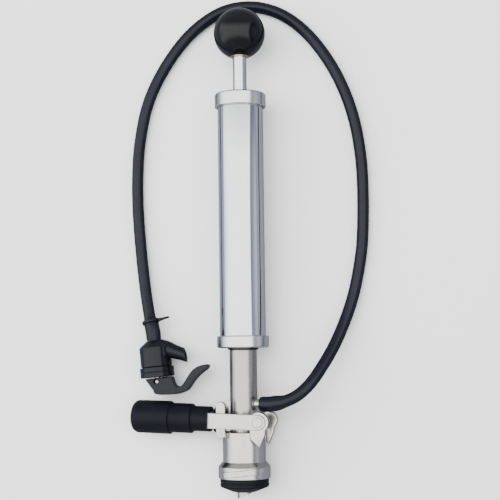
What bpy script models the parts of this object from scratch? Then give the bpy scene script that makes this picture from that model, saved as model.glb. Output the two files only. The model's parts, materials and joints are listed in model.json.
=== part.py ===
"""Hand-operated keg tap: party pump on a lever coupler, with a beer hose and a squeeze faucet.

Units are metres. The pump lies on a surface, Z = 0, with its axis along +Y and its knob at +Y.
Each group of pieces is modelled in its own local frame, held by an empty:
  pump    local Z is the pump's axis, Z = 0 is the underside of the coupler's flange, -Y faces up
  lever   local -X runs from the pivot along the arm to the grip
  faucet  local Z is the faucet's axis, Z = 0 is the face where the hose ends, -Y faces up
  trigger the same directions as the faucet, at the trigger's fulcrum
"""
import math

import bmesh
import bpy
from mathutils import Matrix, Vector

# ---- clearances ----
GAP = 0.0003                    # between two pieces that touch
RUNNING_GAP = 0.0006            # between an arm and the ear that it swings past
SWEEP_GAP = 0.0006              # between the knob's sweep and the hose that it passes over

# ---- coupler ----
LUG_RADIUS = 0.0252
BASE_RADIUS = 0.0239
BASE_HEIGHT = 0.0106
FLARE_TOP = 0.0151
NECK_RADIUS = 0.0197
NECK_TOP = 0.0422
CAVITY_RADIUS = 0.0157
FLOOR_THICKNESS = 0.0055
THROAT_RADIUS = 0.0099
LUG_HEIGHT = 0.0055
LUG_START_HEIGHT = 0.0012
LUG_RISE = 0.0048
LUG_SPAN = math.radians(110)
LUG_ANGLES = (math.radians(229), math.radians(49))
EAR_THICKNESS = 0.0040
EAR_BOSS_RADIUS = 0.0092
EAR_FOOT_SPREAD = 0.0060
EAR_FOOT_START = 0.0112
GUARD_WIDTH = 0.0085
GUARD_EDGE = -0.0213
GUARD_TOP = 0.0700
SEAL_WALL_RADIUS = 0.0224
SEAL_WALL_HEIGHT = 0.0078
SEAL_CONE_RADIUS = 0.0110
SEAL_HEIGHT = 0.0122

# ---- lever ----
PIVOT_X = 0.0183
PIVOT_Z = 0.0515
PIVOT_SCREW_RADIUS = 0.0032
PIVOT_THREAD_RADIUS = 0.0026
PIVOT_HEAD_RADIUS = 0.0046
PIVOT_HEAD_DEPTH = 0.0014
SPANNER_HOLE_RADIUS = 0.0010
SPANNER_HOLE_SPREAD = 0.0021
DRIVE_PIN_X = -0.0035
DRIVE_PIN_RADIUS = 0.0020
LEVER_RISE = math.radians(1.9)  # the grip stands this far above square at rest
PROBE_TRAVEL = 0.0076
ARM_HEIGHT = 0.0140
ARM_THICKNESS = 0.0032
ARM_CORNER_RADIUS = 0.0060
BRIDGE_THICKNESS = 0.0036
GRIP_START = 0.0492             # from the pivot
GRIP_STEPS = ((0.0177, 0.0116), (0.0210, 0.0137), (0.0376, 0.0153))   # length and radius
GRIP_END_ROUND = 0.0065
SPINDLE_RADIUS = 0.0040
BUMPER_RADIUS = 0.0119
SPINDLE_HEAD_RADIUS = 0.0056
SPINDLE_HEAD_THICKNESS = 0.0012
NECK_CLEARANCE = 0.0006         # bumper to neck at the bottom of the stroke

# ---- probe and tube ----
TUBE_RADIUS = 0.0126
TUBE_WALL = 0.0016
STEM_RADIUS = 0.0067
STEM_LENGTH = 0.0190            # how far the probe reaches below the flange
STEM_BORE = 0.0038
TIP_SLANT = math.radians(22)
BEER_TUBE_RADIUS = 0.0050
BEER_TUBE_BORE = 0.0036
PROBE_BALL_RADIUS = 0.0031
BUSH_TOP = 0.0400
BUSH_HEIGHT = 0.0060
COLLAR_HEIGHT = 0.0080
COLLAR_RADIUS = 0.0153
BARB_HEIGHT = 0.0672
BARB_TURN = math.radians(-12)   # from +X towards the upper side
BARB_SHANK_RADIUS = 0.0032
BARB_FLANGE_RADIUS = 0.0046
BARB_FLANGE_LENGTH = 0.0047
BARB_BORE = 0.0022

# ---- barrel ----
BARREL_RADIUS = 0.0212
BARREL_WALL = 0.0014
CAP_RADIUS = 0.0240
CAP_BEVEL = 0.0012
LOWER_CAP_BOTTOM = 0.1185
LOWER_CAP_HEIGHT = 0.0110
BARREL_SHOWN = 0.2134           # between the two caps
UPPER_CAP_HEIGHT = 0.0128
CAP_RECESS = 0.0035
VALVE_CHAMBER_RADIUS = 0.0100
VALVE_PLATE_THICKNESS = 0.0025
VALVE_DISC_RADIUS = 0.0075
VALVE_STEM_RADIUS = 0.0016
VALVE_TRAVEL = 0.0015
VALVE_HOLE_RADIUS = 0.0012
VALVE_HOLE_CIRCLE = 0.0046
VALVE_HOLE_TURN = math.radians(7)
GASKET_THICKNESS = 0.0010

# ---- piston ----
ROD_RADIUS = 0.0064
ROD_THREAD_RADIUS = 0.0040
ROD_SHOWN = 0.0340              # between the upper cap and the knob
DOWN_STROKE = 0.0330
KNOB_RADIUS = 0.0242
KNOB_INSERT_WALL = 0.0023
KNOB_INSERT_LENGTH = 0.0110
PISTON_NUT_HEIGHT = 0.0050
PISTON_NUT_RADIUS = 0.0085
PISTON_PLATE_THICKNESS = 0.0030
CUP_THICKNESS = 0.0025
CUP_SKIRT = 0.0080
BUMPER_LENGTH = 0.0050

# ---- hose ----
HOSE_RADIUS = 0.0056
HOSE_POINT_SPACING = 0.0125
EXIT_STRAIGHT = 0.0080
HOSE_ROUTE = (                  # on the surface, from beside the barb round to the faucet
    (0.0390, 0.0694, 0.0372), (0.0504, 0.0745, 0.0370), (0.0620, 0.0850, 0.0340),
    (0.0734, 0.1015, 0.0268), (0.0844, 0.1216, 0.0180), (0.0942, 0.1450, 0.0110),
    (0.1016, 0.1677, 0.0075), (0.1069, 0.1920, 0.0061), (0.1102, 0.2145, 0.0058),
    (0.1118, 0.2494, 0.0058), (0.1114, 0.2856, 0.0058), (0.1091, 0.3096, 0.0058),
    (0.1048, 0.3334, 0.0058), (0.0976, 0.3574, 0.0058), (0.0867, 0.3822, 0.0058),
    (0.0718, 0.4062, 0.0058), (0.0550, 0.4256, 0.0058), (0.0354, 0.4400, 0.0058),
    (0.0130, 0.4478, 0.0058), (-0.0096, 0.4480, 0.0058), (-0.0290, 0.4416, 0.0058),
    (-0.0534, 0.4239, 0.0058), (-0.0765, 0.3950, 0.0058), (-0.0946, 0.3590, 0.0058),
    (-0.1032, 0.3197, 0.0058), (-0.1055, 0.2892, 0.0058), (-0.1054, 0.2588, 0.0058),
    (-0.1026, 0.2193, 0.0062), (-0.0976, 0.1798, 0.0092), (-0.0919, 0.1500, 0.0140),
)

# ---- faucet ----
FAUCET_PLACE = (-0.0871, 0.1262)
FAUCET_TURN = math.radians(6)
INLET_RADIUS = 0.0072
INLET_BORE = 0.0034
FAUCET_BODY_RADIUS = 0.0147
FAUCET_SHOULDER = 0.0055
FAUCET_BODY_LENGTH = 0.0246
SPIGOT_RADIUS = 0.0126
SPIGOT_LENGTH = 0.0059
CHAMBER_RADIUS = 0.0108
SEAT_DEPTH = 0.0090
BONNET_RADIUS = 0.0160
BONNET_LENGTH = 0.0094
BONNET_FLOOR = 0.0032
SPOUT_RADIUS = 0.0061
SPOUT_BORE = 0.0043
SPOUT_REACH = 0.0289
SPOUT_DEPTH = 0.0168
SPOUT_SLOPE = math.radians(23)
SPOUT_CUT = math.radians(6)     # how far the mouth is cut back from square to the faucet
PLUNGER_RADIUS = 0.0022
PLUNGER_FLANGE_RADIUS = 0.0055
PLUNGER_PIN_RADIUS = 0.0015
PLUNGER_PIN_DEPTH = 0.0386
PLUNGER_END = 0.0418
SPRING_RADIUS = 0.0044
SPRING_WIRE = 0.0005
SPRING_TURNS = 5
TRIGGER_WIDTH = 0.0120
TRIGGER_SLOT = 0.0052
TRIGGER_SWING = math.radians(16)
FULCRUM = (0.0148, -0.0346)
TRIGGER_OUTER = (               # head and the outside of the hook, from the fulcrum round to the tip
    (-0.0111, -0.0350), (-0.0048, -0.0458), (-0.0016, -0.0504), (0.0143, -0.0521),
    (0.0220, -0.0515), (0.0288, -0.0489), (0.0342, -0.0428), (0.0395, -0.0377),
    (0.0445, -0.0344), (0.0486, -0.0320), (0.0503, -0.0292),
)
TRIGGER_INNER = (               # back along the inside of the hook to the fulcrum
    (0.0491, -0.0277), (0.0452, -0.0279), (0.0405, -0.0287), (0.0354, -0.0311),
    (0.0302, -0.0362), (0.0258, -0.0419), (0.0227, -0.0449), (0.0198, -0.0453),
    (0.0171, -0.0439), (0.0156, -0.0404), (0.0151, -0.0366), (0.0140, -0.0350),
)
CLAMP_DISTANCE = 0.0180         # along the hose, from the faucet
CLAMP_RADIUS = 0.0084
CLAMP_WALL = 0.0010
CLAMP_HEIGHT = 0.0028
CLAMP_TAIL = 0.0100

# ---- worked-out levels on the pump's axis ----
EAR_INNER = CAVITY_RADIUS
EAR_OUTER = EAR_INNER + EAR_THICKNESS
ARM_INNER = max(EAR_OUTER, NECK_RADIUS) + RUNNING_GAP
ARM_OUTER = ARM_INNER + ARM_THICKNESS
PIN_ARM = PIVOT_X - DRIVE_PIN_X
PIN_Z = PIVOT_Z + PIN_ARM * math.tan(LEVER_RISE)
LEVER_DROP = math.atan(PROBE_TRAVEL / PIN_ARM - math.tan(LEVER_RISE))
PROBE_SHOULDER = FLOOR_THICKNESS + PROBE_TRAVEL + 2 * GAP
PROBE_SHOULDER_TOP = PROBE_SHOULDER + 0.0022
PROBE_PLUG_TOP = PROBE_SHOULDER_TOP + 0.0050
TUBE_BOTTOM = PROBE_SHOULDER_TOP + GAP
TUBE_BORE = TUBE_RADIUS - TUBE_WALL
RING_SECTION = (CAVITY_RADIUS - TUBE_RADIUS) / 2 - GAP    # radius of the sealing ring's round section
TUBE_TOP = LOWER_CAP_BOTTOM + 0.0037
LOWER_CAP_TOP = LOWER_CAP_BOTTOM + LOWER_CAP_HEIGHT
LOWER_RECESS = LOWER_CAP_TOP - CAP_RECESS
BARREL_BORE = BARREL_RADIUS - BARREL_WALL
BARREL_BOTTOM = LOWER_RECESS + GASKET_THICKNESS + 2 * GAP
UPPER_CAP_BOTTOM = LOWER_CAP_TOP + BARREL_SHOWN
UPPER_CAP_TOP = UPPER_CAP_BOTTOM + UPPER_CAP_HEIGHT
UPPER_RECESS = UPPER_CAP_BOTTOM + CAP_RECESS
BARREL_TOP = UPPER_RECESS - GASKET_THICKNESS - 2 * GAP
VALVE_PLATE_BOTTOM = LOWER_RECESS + GAP
VALVE_PLATE_TOP = VALVE_PLATE_BOTTOM + VALVE_PLATE_THICKNESS
VALVE_HEAD_TOP = VALVE_PLATE_TOP + VALVE_TRAVEL + GAP + 0.0014
ROD_BUSH_RADIUS = ROD_RADIUS + GAP + 0.0031
ROD_BUSH_FLANGE_BOTTOM = UPPER_RECESS - GAP - 0.0024
PISTON_BOTTOM = VALVE_HEAD_TOP + DOWN_STROKE + GAP
PLATE_LOWER = PISTON_BOTTOM + PISTON_NUT_HEIGHT + GAP
CUP_BOTTOM = PLATE_LOWER + PISTON_PLATE_THICKNESS + GAP
PLATE_UPPER = CUP_BOTTOM + CUP_THICKNESS + GAP
ROD_SHOULDER = PLATE_UPPER + PISTON_PLATE_THICKNESS + GAP
ROD_BUMPER_TOP = ROD_SHOULDER + BUMPER_LENGTH
KNOB_BOTTOM = UPPER_CAP_TOP + ROD_SHOWN
KNOB_CENTRE = KNOB_BOTTOM + KNOB_RADIUS
ROD_TOP = KNOB_BOTTOM + 0.0150
GRIP_LENGTH = sum(length for length, _ in GRIP_STEPS)
GRIP_END = GRIP_START + GRIP_LENGTH
GRIP_RADIUS = GRIP_STEPS[-1][1]
BARB_START = TUBE_RADIUS + GAP
BARB_END = BARB_START + BARB_FLANGE_LENGTH
FAUCET_HEIGHT = BONNET_RADIUS + GAP
BONNET_TOP = FAUCET_BODY_LENGTH + GAP
BONNET_BOTTOM = BONNET_TOP + BONNET_LENGTH
PLUNGER_TRAVEL = FULCRUM[0] * TRIGGER_SWING

# ---- how the pump lies: the knob's end is lifted over the hose, and the grip's end rests ----
KNOB_LIFT = KNOB_RADIUS + 2 * HOSE_RADIUS + SWEEP_GAP
HOSE_CROSSING = 0.448
AXIS_INCLINE = math.asin((KNOB_LIFT - LUG_RADIUS) / HOSE_CROSSING)
GRIP_HEIGHT = LUG_RADIUS + PIVOT_Z * math.sin(AXIS_INCLINE) - GRIP_RADIUS - GAP
AXIS_ROLL = -math.asin(GRIP_HEIGHT / (GRIP_END - PIVOT_X))

# ---- finishes: colour, metallic, roughness ----
FINISHES = {
    "chrome": ((0.80, 0.80, 0.82), 1.0, 0.08),
    "cast_nickel": ((0.72, 0.71, 0.68), 1.0, 0.25),
    "stainless": ((0.66, 0.63, 0.60), 1.0, 0.28),
    "zinc_steel": ((0.55, 0.55, 0.56), 1.0, 0.35),
    "brass": ((0.72, 0.53, 0.26), 1.0, 0.30),
    "gloss_black": ((0.012, 0.013, 0.017), 0.0, 0.10),
    "satin_black": ((0.020, 0.021, 0.027), 0.0, 0.42),
    "faucet_black": ((0.015, 0.016, 0.022), 0.0, 0.30),
    "hose_black": ((0.015, 0.016, 0.028), 0.0, 0.28),
    "seal_rubber": ((0.020, 0.020, 0.024), 0.0, 0.55),
    "white_nylon": ((0.85, 0.85, 0.82), 0.0, 0.45),
    "leather": ((0.28, 0.15, 0.07), 0.0, 0.65),
}


def finish_material(name):
    """The Principled material of a finish, made once."""
    material = bpy.data.materials.get(name)
    if material is None:
        colour, metallic, roughness = FINISHES[name]
        material = bpy.data.materials.new(name)
        material.use_nodes = True
        shader = material.node_tree.nodes["Principled BSDF"]
        shader.inputs["Base Color"].default_value = (*colour, 1.0)
        shader.inputs["Metallic"].default_value = metallic
        shader.inputs["Roughness"].default_value = roughness
    return material


def empty(name, parent=None):
    holder = bpy.data.objects.new(name, None)
    bpy.context.collection.objects.link(holder)
    holder.parent = parent
    return holder


def piece(name, bm, finish, parent):
    """A named object from a bmesh, with outward faces and smooth round sides."""
    bmesh.ops.recalc_face_normals(bm, faces=bm.faces)
    mesh = bpy.data.meshes.new(name)
    bm.to_mesh(mesh)
    bm.free()
    mesh.shade_smooth()
    mesh.set_sharp_from_angle(angle=math.radians(35))
    mesh.materials.append(finish_material(finish))
    thing = bpy.data.objects.new(name, mesh)
    bpy.context.collection.objects.link(thing)
    thing.parent = parent
    return thing


def turned(name, outline, finish, parent, sides=28):
    """A body turned about local Z from (radius, height) points.

    An outline whose ends lie on the axis is a solid of revolution; any other outline is closed
    back to its first point and makes a ring.
    """
    bm = bmesh.new()
    rings = []
    for radius, height in outline:
        if radius == 0:
            rings.append([bm.verts.new((0, 0, height))])
            continue
        turn = [2 * math.pi * i / sides for i in range(sides)]
        rings.append([bm.verts.new((radius * math.cos(a), radius * math.sin(a), height)) for a in turn])
    for ring, following in zip(rings, rings[1:] + rings[:1]):
        for i in range(sides):
            j = (i + 1) % sides
            if len(ring) == 1 and len(following) == 1:
                break
            if len(ring) == 1:
                bm.faces.new((ring[0], following[j], following[i]))
            elif len(following) == 1:
                bm.faces.new((ring[i], ring[j], following[0]))
            else:
                bm.faces.new((ring[i], ring[j], following[j], following[i]))
    return piece(name, bm, finish, parent)


def prism(name, outline, low, high, finish, parent, along="Y"):
    """A flat outline given depth: (X, Z) points along local Y, or (X, Y) points along local Z."""
    def point(a, b, depth):
        return (a, depth, b) if along == "Y" else (a, b, depth)

    bm = bmesh.new()
    near = [bm.verts.new(point(a, b, low)) for a, b in outline]
    far = [bm.verts.new(point(a, b, high)) for a, b in outline]
    bm.faces.new(near)
    bm.faces.new(list(reversed(far)))
    for i in range(len(outline)):
        j = (i + 1) % len(outline)
        bm.faces.new((near[j], near[i], far[i], far[j]))
    return piece(name, bm, finish, parent)


def arc(centre, radius, start, end, count):
    """Points on an arc, with both ends, angles in degrees."""
    angles = [math.radians(start + (end - start) * i / count) for i in range(count + 1)]
    return [(centre[0] + radius * math.cos(a), centre[1] + radius * math.sin(a)) for a in angles]


def change(thing, tool, operation):
    """Add a Boolean to a piece; the tool stays as a wire guide that isn't part of the model."""
    modifier = thing.modifiers.new(tool.name, "BOOLEAN")
    modifier.operation = operation
    modifier.solver = "EXACT"
    modifier.object = tool
    tool.hide_render = True
    tool.display_type = "WIRE"


def cut(thing, *tools):
    for tool in tools:
        change(thing, tool, "DIFFERENCE")


def add(thing, *tools):
    for tool in tools:
        change(thing, tool, "UNION")


def cylinder(name, radius, low, high, parent, finish="chrome", sides=24):
    return turned(name, [(0, low), (radius, low), (radius, high), (0, high)], finish, parent, sides)


def point_along_y(thing, x, z, side):
    """Lay a turned body along local Y, its +Z towards the near (-1) or far (+1) side."""
    thing.rotation_euler = (-side * math.pi / 2, 0, 0)
    thing.location = (x, 0, z)
    return thing


SIDES = (("near", -1), ("far", 1))


# ---- coupler ----

def lug(name, start, pump):
    """One helical locking lug, rising round the base from its start angle."""
    bm = bmesh.new()
    steps = 11
    inner = BASE_RADIUS - 0.0020
    sections = []
    for i in range(steps + 1):
        angle = start + LUG_SPAN * i / steps
        low = LUG_START_HEIGHT + LUG_RISE * i / steps
        corners = ((inner, low), (LUG_RADIUS, low), (LUG_RADIUS, low + LUG_HEIGHT), (inner, low + LUG_HEIGHT))
        sections.append([bm.verts.new((r * math.cos(angle), r * math.sin(angle), z)) for r, z in corners])
    for section, following in zip(sections, sections[1:]):
        for i in range(4):
            j = (i + 1) % 4
            bm.faces.new((section[i], section[j], following[j], following[i]))
    bm.faces.new(sections[0])
    bm.faces.new(sections[-1])
    return piece(name, bm, "cast_nickel", pump)


def ear_outlines():
    """The outlines of the pivot ear, on the right, and of the guard ear, on the left."""
    boss_foot = PIVOT_X + EAR_FOOT_SPREAD
    boss_drop = math.degrees(math.acos(EAR_FOOT_SPREAD / EAR_BOSS_RADIUS))
    pivot_ear = [(EAR_FOOT_START, NECK_TOP - 0.0060), (NECK_RADIUS - 0.0005, NECK_TOP - 0.0132), (boss_foot, NECK_TOP - 0.0012)]
    pivot_ear += arc((PIVOT_X, PIVOT_Z), EAR_BOSS_RADIUS, -boss_drop, 180, 16)
    round_end = GUARD_WIDTH / 2
    guard_ear = [(GUARD_EDGE + GUARD_WIDTH, NECK_TOP - 0.0042)]
    guard_ear += arc((GUARD_EDGE + round_end, GUARD_TOP - round_end), round_end, 0, 180, 12)
    guard_ear += [(GUARD_EDGE, NECK_TOP + 0.0020), (-NECK_RADIUS + 0.0005, NECK_TOP - 0.0060)]
    return pivot_ear, guard_ear


def make_coupler(pump):
    body = turned("coupler_body", [
        (0, 0), (BASE_RADIUS, 0), (BASE_RADIUS, BASE_HEIGHT), (BASE_RADIUS - 0.0006, BASE_HEIGHT + 0.0008),
        (NECK_RADIUS, FLARE_TOP), (NECK_RADIUS, NECK_TOP - 0.0005), (NECK_RADIUS - 0.0005, NECK_TOP),
        (0, NECK_TOP)], "cast_nickel", pump)
    for count, start in enumerate(LUG_ANGLES):
        add(body, lug(f"lug_guide_{count}", start, pump))
    for outline, kind in zip(ear_outlines(), ("pivot", "guard")):
        for side_name, side in SIDES:
            low, high = sorted((side * (EAR_INNER - 0.0010), side * EAR_OUTER))
            add(body, prism(f"{kind}_ear_guide_{side_name}", outline, low, high, "cast_nickel", pump))
    bore = turned("coupler_bore", [
        (0, -0.01), (THROAT_RADIUS, -0.01), (THROAT_RADIUS, FLOOR_THICKNESS),
        (CAVITY_RADIUS, FLOOR_THICKNESS), (CAVITY_RADIUS, 0.09), (0, 0.09)], "cast_nickel", pump)
    cut(body, bore)
    screw_hole = cylinder("pivot_screw_hole", PIVOT_THREAD_RADIUS + GAP, -0.03, 0.03, pump)
    cut(body, point_along_y(screw_hole, PIVOT_X, PIVOT_Z, 1))
    return body


def make_seals(pump):
    bore = STEM_RADIUS + GAP
    neck = THROAT_RADIUS - GAP
    turned("body_seal", [
        (bore, -SEAL_HEIGHT), (SEAL_CONE_RADIUS, -SEAL_HEIGHT), (SEAL_WALL_RADIUS - 0.0006, -SEAL_WALL_HEIGHT),
        (SEAL_WALL_RADIUS, -SEAL_WALL_HEIGHT + 0.0008), (SEAL_WALL_RADIUS, -GAP), (neck, -GAP),
        (neck, FLOOR_THICKNESS - GAP), (bore, FLOOR_THICKNESS - GAP)], "seal_rubber", pump)
    ring_centre = (TUBE_RADIUS + CAVITY_RADIUS) / 2
    ring_height = BUSH_TOP - BUSH_HEIGHT - GAP - RING_SECTION
    turned("probe_ring", arc((ring_centre, ring_height), RING_SECTION, 0, 300, 5), "seal_rubber", pump, 24)
    bush_bottom = BUSH_TOP - BUSH_HEIGHT
    turned("guide_bush", [
        (TUBE_RADIUS + GAP, bush_bottom), (CAVITY_RADIUS - GAP, bush_bottom),
        (CAVITY_RADIUS - GAP, BUSH_TOP), (TUBE_RADIUS + GAP, BUSH_TOP)], "white_nylon", pump)


def make_pivot_screws(pump):
    for side_name, side in SIDES:
        head_seat = ARM_OUTER - PIVOT_HEAD_DEPTH
        screw = turned(f"pivot_screw_{side_name}", [
            (0, EAR_INNER + GAP), (PIVOT_THREAD_RADIUS, EAR_INNER + GAP),
            (PIVOT_THREAD_RADIUS, EAR_OUTER + GAP), (PIVOT_SCREW_RADIUS, EAR_OUTER + GAP),
            (PIVOT_SCREW_RADIUS, head_seat), (PIVOT_HEAD_RADIUS, head_seat),
            (PIVOT_HEAD_RADIUS, ARM_OUTER - 0.0001), (PIVOT_HEAD_RADIUS - 0.0003, ARM_OUTER + 0.0002),
            (0, ARM_OUTER + 0.0002)], "cast_nickel", pump, 24)
        point_along_y(screw, PIVOT_X, PIVOT_Z, side)
        for turn in (-1, 1):
            hole = cylinder(f"spanner_hole_{side_name}_{turn + 1}", SPANNER_HOLE_RADIUS,
                            ARM_OUTER - 0.0009, ARM_OUTER + 0.0020, pump, sides=12)
            point_along_y(hole, PIVOT_X, PIVOT_Z + turn * SPANNER_HOLE_SPREAD, side)
            cut(screw, hole)


# ---- lever ----

def clear_of_neck(radius):
    """Nearest distance from the pivot for a round edge that misses the neck when the lever is down."""
    reach = PIVOT_X + NECK_RADIUS + NECK_CLEARANCE + radius * math.sin(LEVER_DROP)
    return reach / math.cos(LEVER_DROP)


def make_lever(lever):
    bridge_outer = -(GRIP_START - GAP)
    bridge_inner = bridge_outer + BRIDGE_THICKNESS
    round_end = ARM_HEIGHT / 2
    outer = ARM_CORNER_RADIUS
    inner = ARM_CORNER_RADIUS - ARM_THICKNESS
    plan = [(round_end + 0.001, -ARM_OUTER)]
    plan += [(round_end + 0.001, -ARM_INNER)]
    plan += arc((bridge_inner + inner, -ARM_INNER + inner), inner, -90, -180, 4)
    plan += arc((bridge_inner + inner, ARM_INNER - inner), inner, 180, 90, 4)
    plan += [(round_end + 0.001, ARM_INNER), (round_end + 0.001, ARM_OUTER)]
    plan += arc((bridge_outer + outer, ARM_OUTER - outer), outer, 90, 180, 6)
    plan += arc((bridge_outer + outer, -ARM_OUTER + outer), outer, 180, 270, 6)
    yoke = prism("lever_yoke", plan, -round_end, round_end, "cast_nickel", lever, along="Z")
    profile = arc((0, 0), round_end, -90, 90, 16)
    profile += [(bridge_outer - 0.001, round_end), (bridge_outer - 0.001, -round_end)]
    keep = prism("yoke_profile_guide", profile, -0.04, 0.04, "cast_nickel", lever)
    change(yoke, keep, "INTERSECT")
    bore = cylinder("yoke_pivot_bore", PIVOT_SCREW_RADIUS + GAP, -0.04, 0.04, lever)
    cut(yoke, point_along_y(bore, 0, 0, 1))
    slot_start = -PIN_ARM / math.cos(LEVER_RISE)
    slot_end = -PIN_ARM / math.cos(LEVER_DROP)
    slot_radius = DRIVE_PIN_RADIUS + 0.00035
    slot = arc((slot_start, 0), slot_radius, -90, 90, 8) + arc((slot_end, 0), slot_radius, 90, 270, 8)
    for side_name, side in SIDES:
        sink = cylinder(f"yoke_counterbore_{side_name}", PIVOT_HEAD_RADIUS + GAP,
                        ARM_OUTER - PIVOT_HEAD_DEPTH - GAP, ARM_OUTER + 0.002, lever)
        cut(yoke, point_along_y(sink, 0, 0, side))
        low, high = sorted((side * (ARM_INNER - 0.001), side * (ARM_OUTER - 0.0009)))
        cut(yoke, prism(f"yoke_pin_slot_{side_name}", slot, low, high, "cast_nickel", lever))
    spindle_bore = cylinder("yoke_spindle_bore", SPINDLE_RADIUS + GAP, 0.040, 0.060, lever)
    spindle_bore.rotation_euler = (0, -math.pi / 2, 0)
    cut(yoke, spindle_bore)

    grip_outline = [(SPINDLE_RADIUS + GAP, GRIP_START)]
    level = GRIP_START
    previous = None
    for length, radius in GRIP_STEPS:
        if previous is None:
            grip_outline += [(radius - 0.0006, level), (radius, level + 0.0006)]
        else:
            grip_outline += [(previous, level), (radius - 0.0005, level + 0.0003), (radius, level + 0.0010)]
        level += length
        previous = radius
    flat = GRIP_RADIUS - GRIP_END_ROUND
    corner = arc((flat, GRIP_END - GRIP_END_ROUND), GRIP_END_ROUND, 0, 90, 6)
    grip_outline += corner
    spindle_end = GRIP_END - 0.0120
    grip_outline += [(0, GRIP_END), (0, spindle_end + GAP), (SPINDLE_RADIUS + GAP, spindle_end + GAP)]
    grip = turned("lever_grip", grip_outline, "satin_black", lever, 28)
    grip.rotation_euler = (0, -math.pi / 2, 0)

    bumper_end = -bridge_inner - GAP
    head_start = clear_of_neck(SPINDLE_HEAD_RADIUS)
    head_end = head_start + SPINDLE_HEAD_THICKNESS
    recess_radius = SPINDLE_HEAD_RADIUS + GAP
    bumper = turned("yoke_bumper", [
        (SPINDLE_RADIUS + GAP, head_end + GAP), (recess_radius, head_end + GAP),
        (recess_radius, clear_of_neck(recess_radius)), (BUMPER_RADIUS, clear_of_neck(BUMPER_RADIUS)),
        (BUMPER_RADIUS, bumper_end), (SPINDLE_RADIUS + GAP, bumper_end)],
        "satin_black", lever, 24)
    bumper.rotation_euler = (0, -math.pi / 2, 0)
    spindle = turned("grip_spindle", [
        (0, head_start), (SPINDLE_HEAD_RADIUS, head_start), (SPINDLE_HEAD_RADIUS, head_end),
        (SPINDLE_RADIUS, head_end), (SPINDLE_RADIUS, spindle_end), (0, spindle_end)],
        "zinc_steel", lever, 24)
    spindle.rotation_euler = (0, -math.pi / 2, 0)


# ---- probe, tube and barb ----

def make_probe(pump):
    beer_socket = PROBE_PLUG_TOP - 0.0040
    probe = turned("probe_end", [
        (STEM_BORE, -STEM_LENGTH), (STEM_RADIUS, -STEM_LENGTH), (STEM_RADIUS, PROBE_SHOULDER),
        (TUBE_RADIUS, PROBE_SHOULDER), (TUBE_RADIUS, PROBE_SHOULDER_TOP),
        (TUBE_BORE - GAP, PROBE_SHOULDER_TOP), (TUBE_BORE - GAP, PROBE_PLUG_TOP),
        (BEER_TUBE_RADIUS + GAP, PROBE_PLUG_TOP), (BEER_TUBE_RADIUS + GAP, beer_socket),
        (STEM_BORE, beer_socket)], "stainless", pump)
    wedge_depth = 2 * STEM_RADIUS * math.tan(TIP_SLANT)
    wedge = prism("tip_slant", [
        (-0.02, -STEM_LENGTH - 0.01), (0.02, -STEM_LENGTH - 0.01),
        (0.02, -STEM_LENGTH + wedge_depth * (0.02 + STEM_RADIUS) / (2 * STEM_RADIUS)),
        (-STEM_RADIUS, -STEM_LENGTH), (-0.02, -STEM_LENGTH)], -0.02, 0.02, "stainless", pump)
    cut(probe, wedge)
    ball_outline = arc((0, -0.0045), PROBE_BALL_RADIUS, -90, 90, 7)
    ball_outline[0] = (0, ball_outline[0][1])
    ball_outline[-1] = (0, ball_outline[-1][1])
    turned("probe_ball", ball_outline, "zinc_steel", pump, 14)

    tube = turned("pump_tube", [
        (TUBE_BORE, TUBE_BOTTOM), (TUBE_RADIUS, TUBE_BOTTOM), (TUBE_RADIUS, TUBE_TOP),
        (TUBE_BORE, TUBE_TOP)], "stainless", pump, 32)
    barb_hole = cylinder("tube_barb_hole", BARB_SHANK_RADIUS + GAP, 0.0, 0.03, pump)
    lay_along_barb(barb_hole)
    air_port = cylinder("tube_air_port", 0.0022, -0.03, 0.03, pump, sides=12)
    point_along_y(air_port, 0, PROBE_PLUG_TOP + 0.0040, 1)
    cut(tube, barb_hole, air_port)

    beer_top = BARB_HEIGHT + 0.0060
    beer_bottom = beer_socket + GAP
    beer_tube = turned("beer_tube", [
        (BEER_TUBE_BORE, beer_bottom), (BEER_TUBE_RADIUS, beer_bottom), (BEER_TUBE_RADIUS, beer_top),
        (0, beer_top), (0, beer_top - 0.0020), (BEER_TUBE_BORE, beer_top - 0.0020)], "stainless", pump, 24)
    beer_hole = cylinder("beer_tube_hole", BARB_BORE, 0.0, 0.01, pump, sides=16)
    lay_along_barb(beer_hole)
    cut(beer_tube, beer_hole)

    barb_inner = BEER_TUBE_RADIUS + GAP + 0.0001
    barb = turned("hose_barb", [
        (BARB_BORE, barb_inner), (BARB_SHANK_RADIUS, barb_inner), (BARB_SHANK_RADIUS, BARB_START),
        (BARB_FLANGE_RADIUS, BARB_START), (BARB_FLANGE_RADIUS, BARB_END - 0.0005),
        (BARB_FLANGE_RADIUS - 0.0005, BARB_END), (BARB_BORE, BARB_END)], "chrome", pump, 24)
    lay_along_barb(barb)

    collar_bottom = PIN_Z - COLLAR_HEIGHT / 2
    collar = turned("drive_collar", [
        (TUBE_RADIUS + GAP, collar_bottom), (COLLAR_RADIUS, collar_bottom),
        (COLLAR_RADIUS, collar_bottom + COLLAR_HEIGHT), (TUBE_RADIUS + GAP, collar_bottom + COLLAR_HEIGHT)],
        "stainless", pump)
    pin_hole = cylinder("collar_pin_hole", DRIVE_PIN_RADIUS + GAP, -0.03, 0.03, pump, sides=16)
    cut(collar, point_along_y(pin_hole, DRIVE_PIN_X, PIN_Z, 1))
    for side_name, side in SIDES:
        pin = cylinder(f"drive_pin_{side_name}", DRIVE_PIN_RADIUS, TUBE_RADIUS + GAP,
                       ARM_OUTER - 0.0013, pump, "zinc_steel", 16)
        point_along_y(pin, DRIVE_PIN_X, PIN_Z, side)


def lay_along_barb(thing):
    """Point a turned body's +Z out along the hose barb."""
    thing.rotation_euler = (0, math.pi / 2, BARB_TURN)
    thing.location = (0, 0, BARB_HEIGHT)


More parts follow.
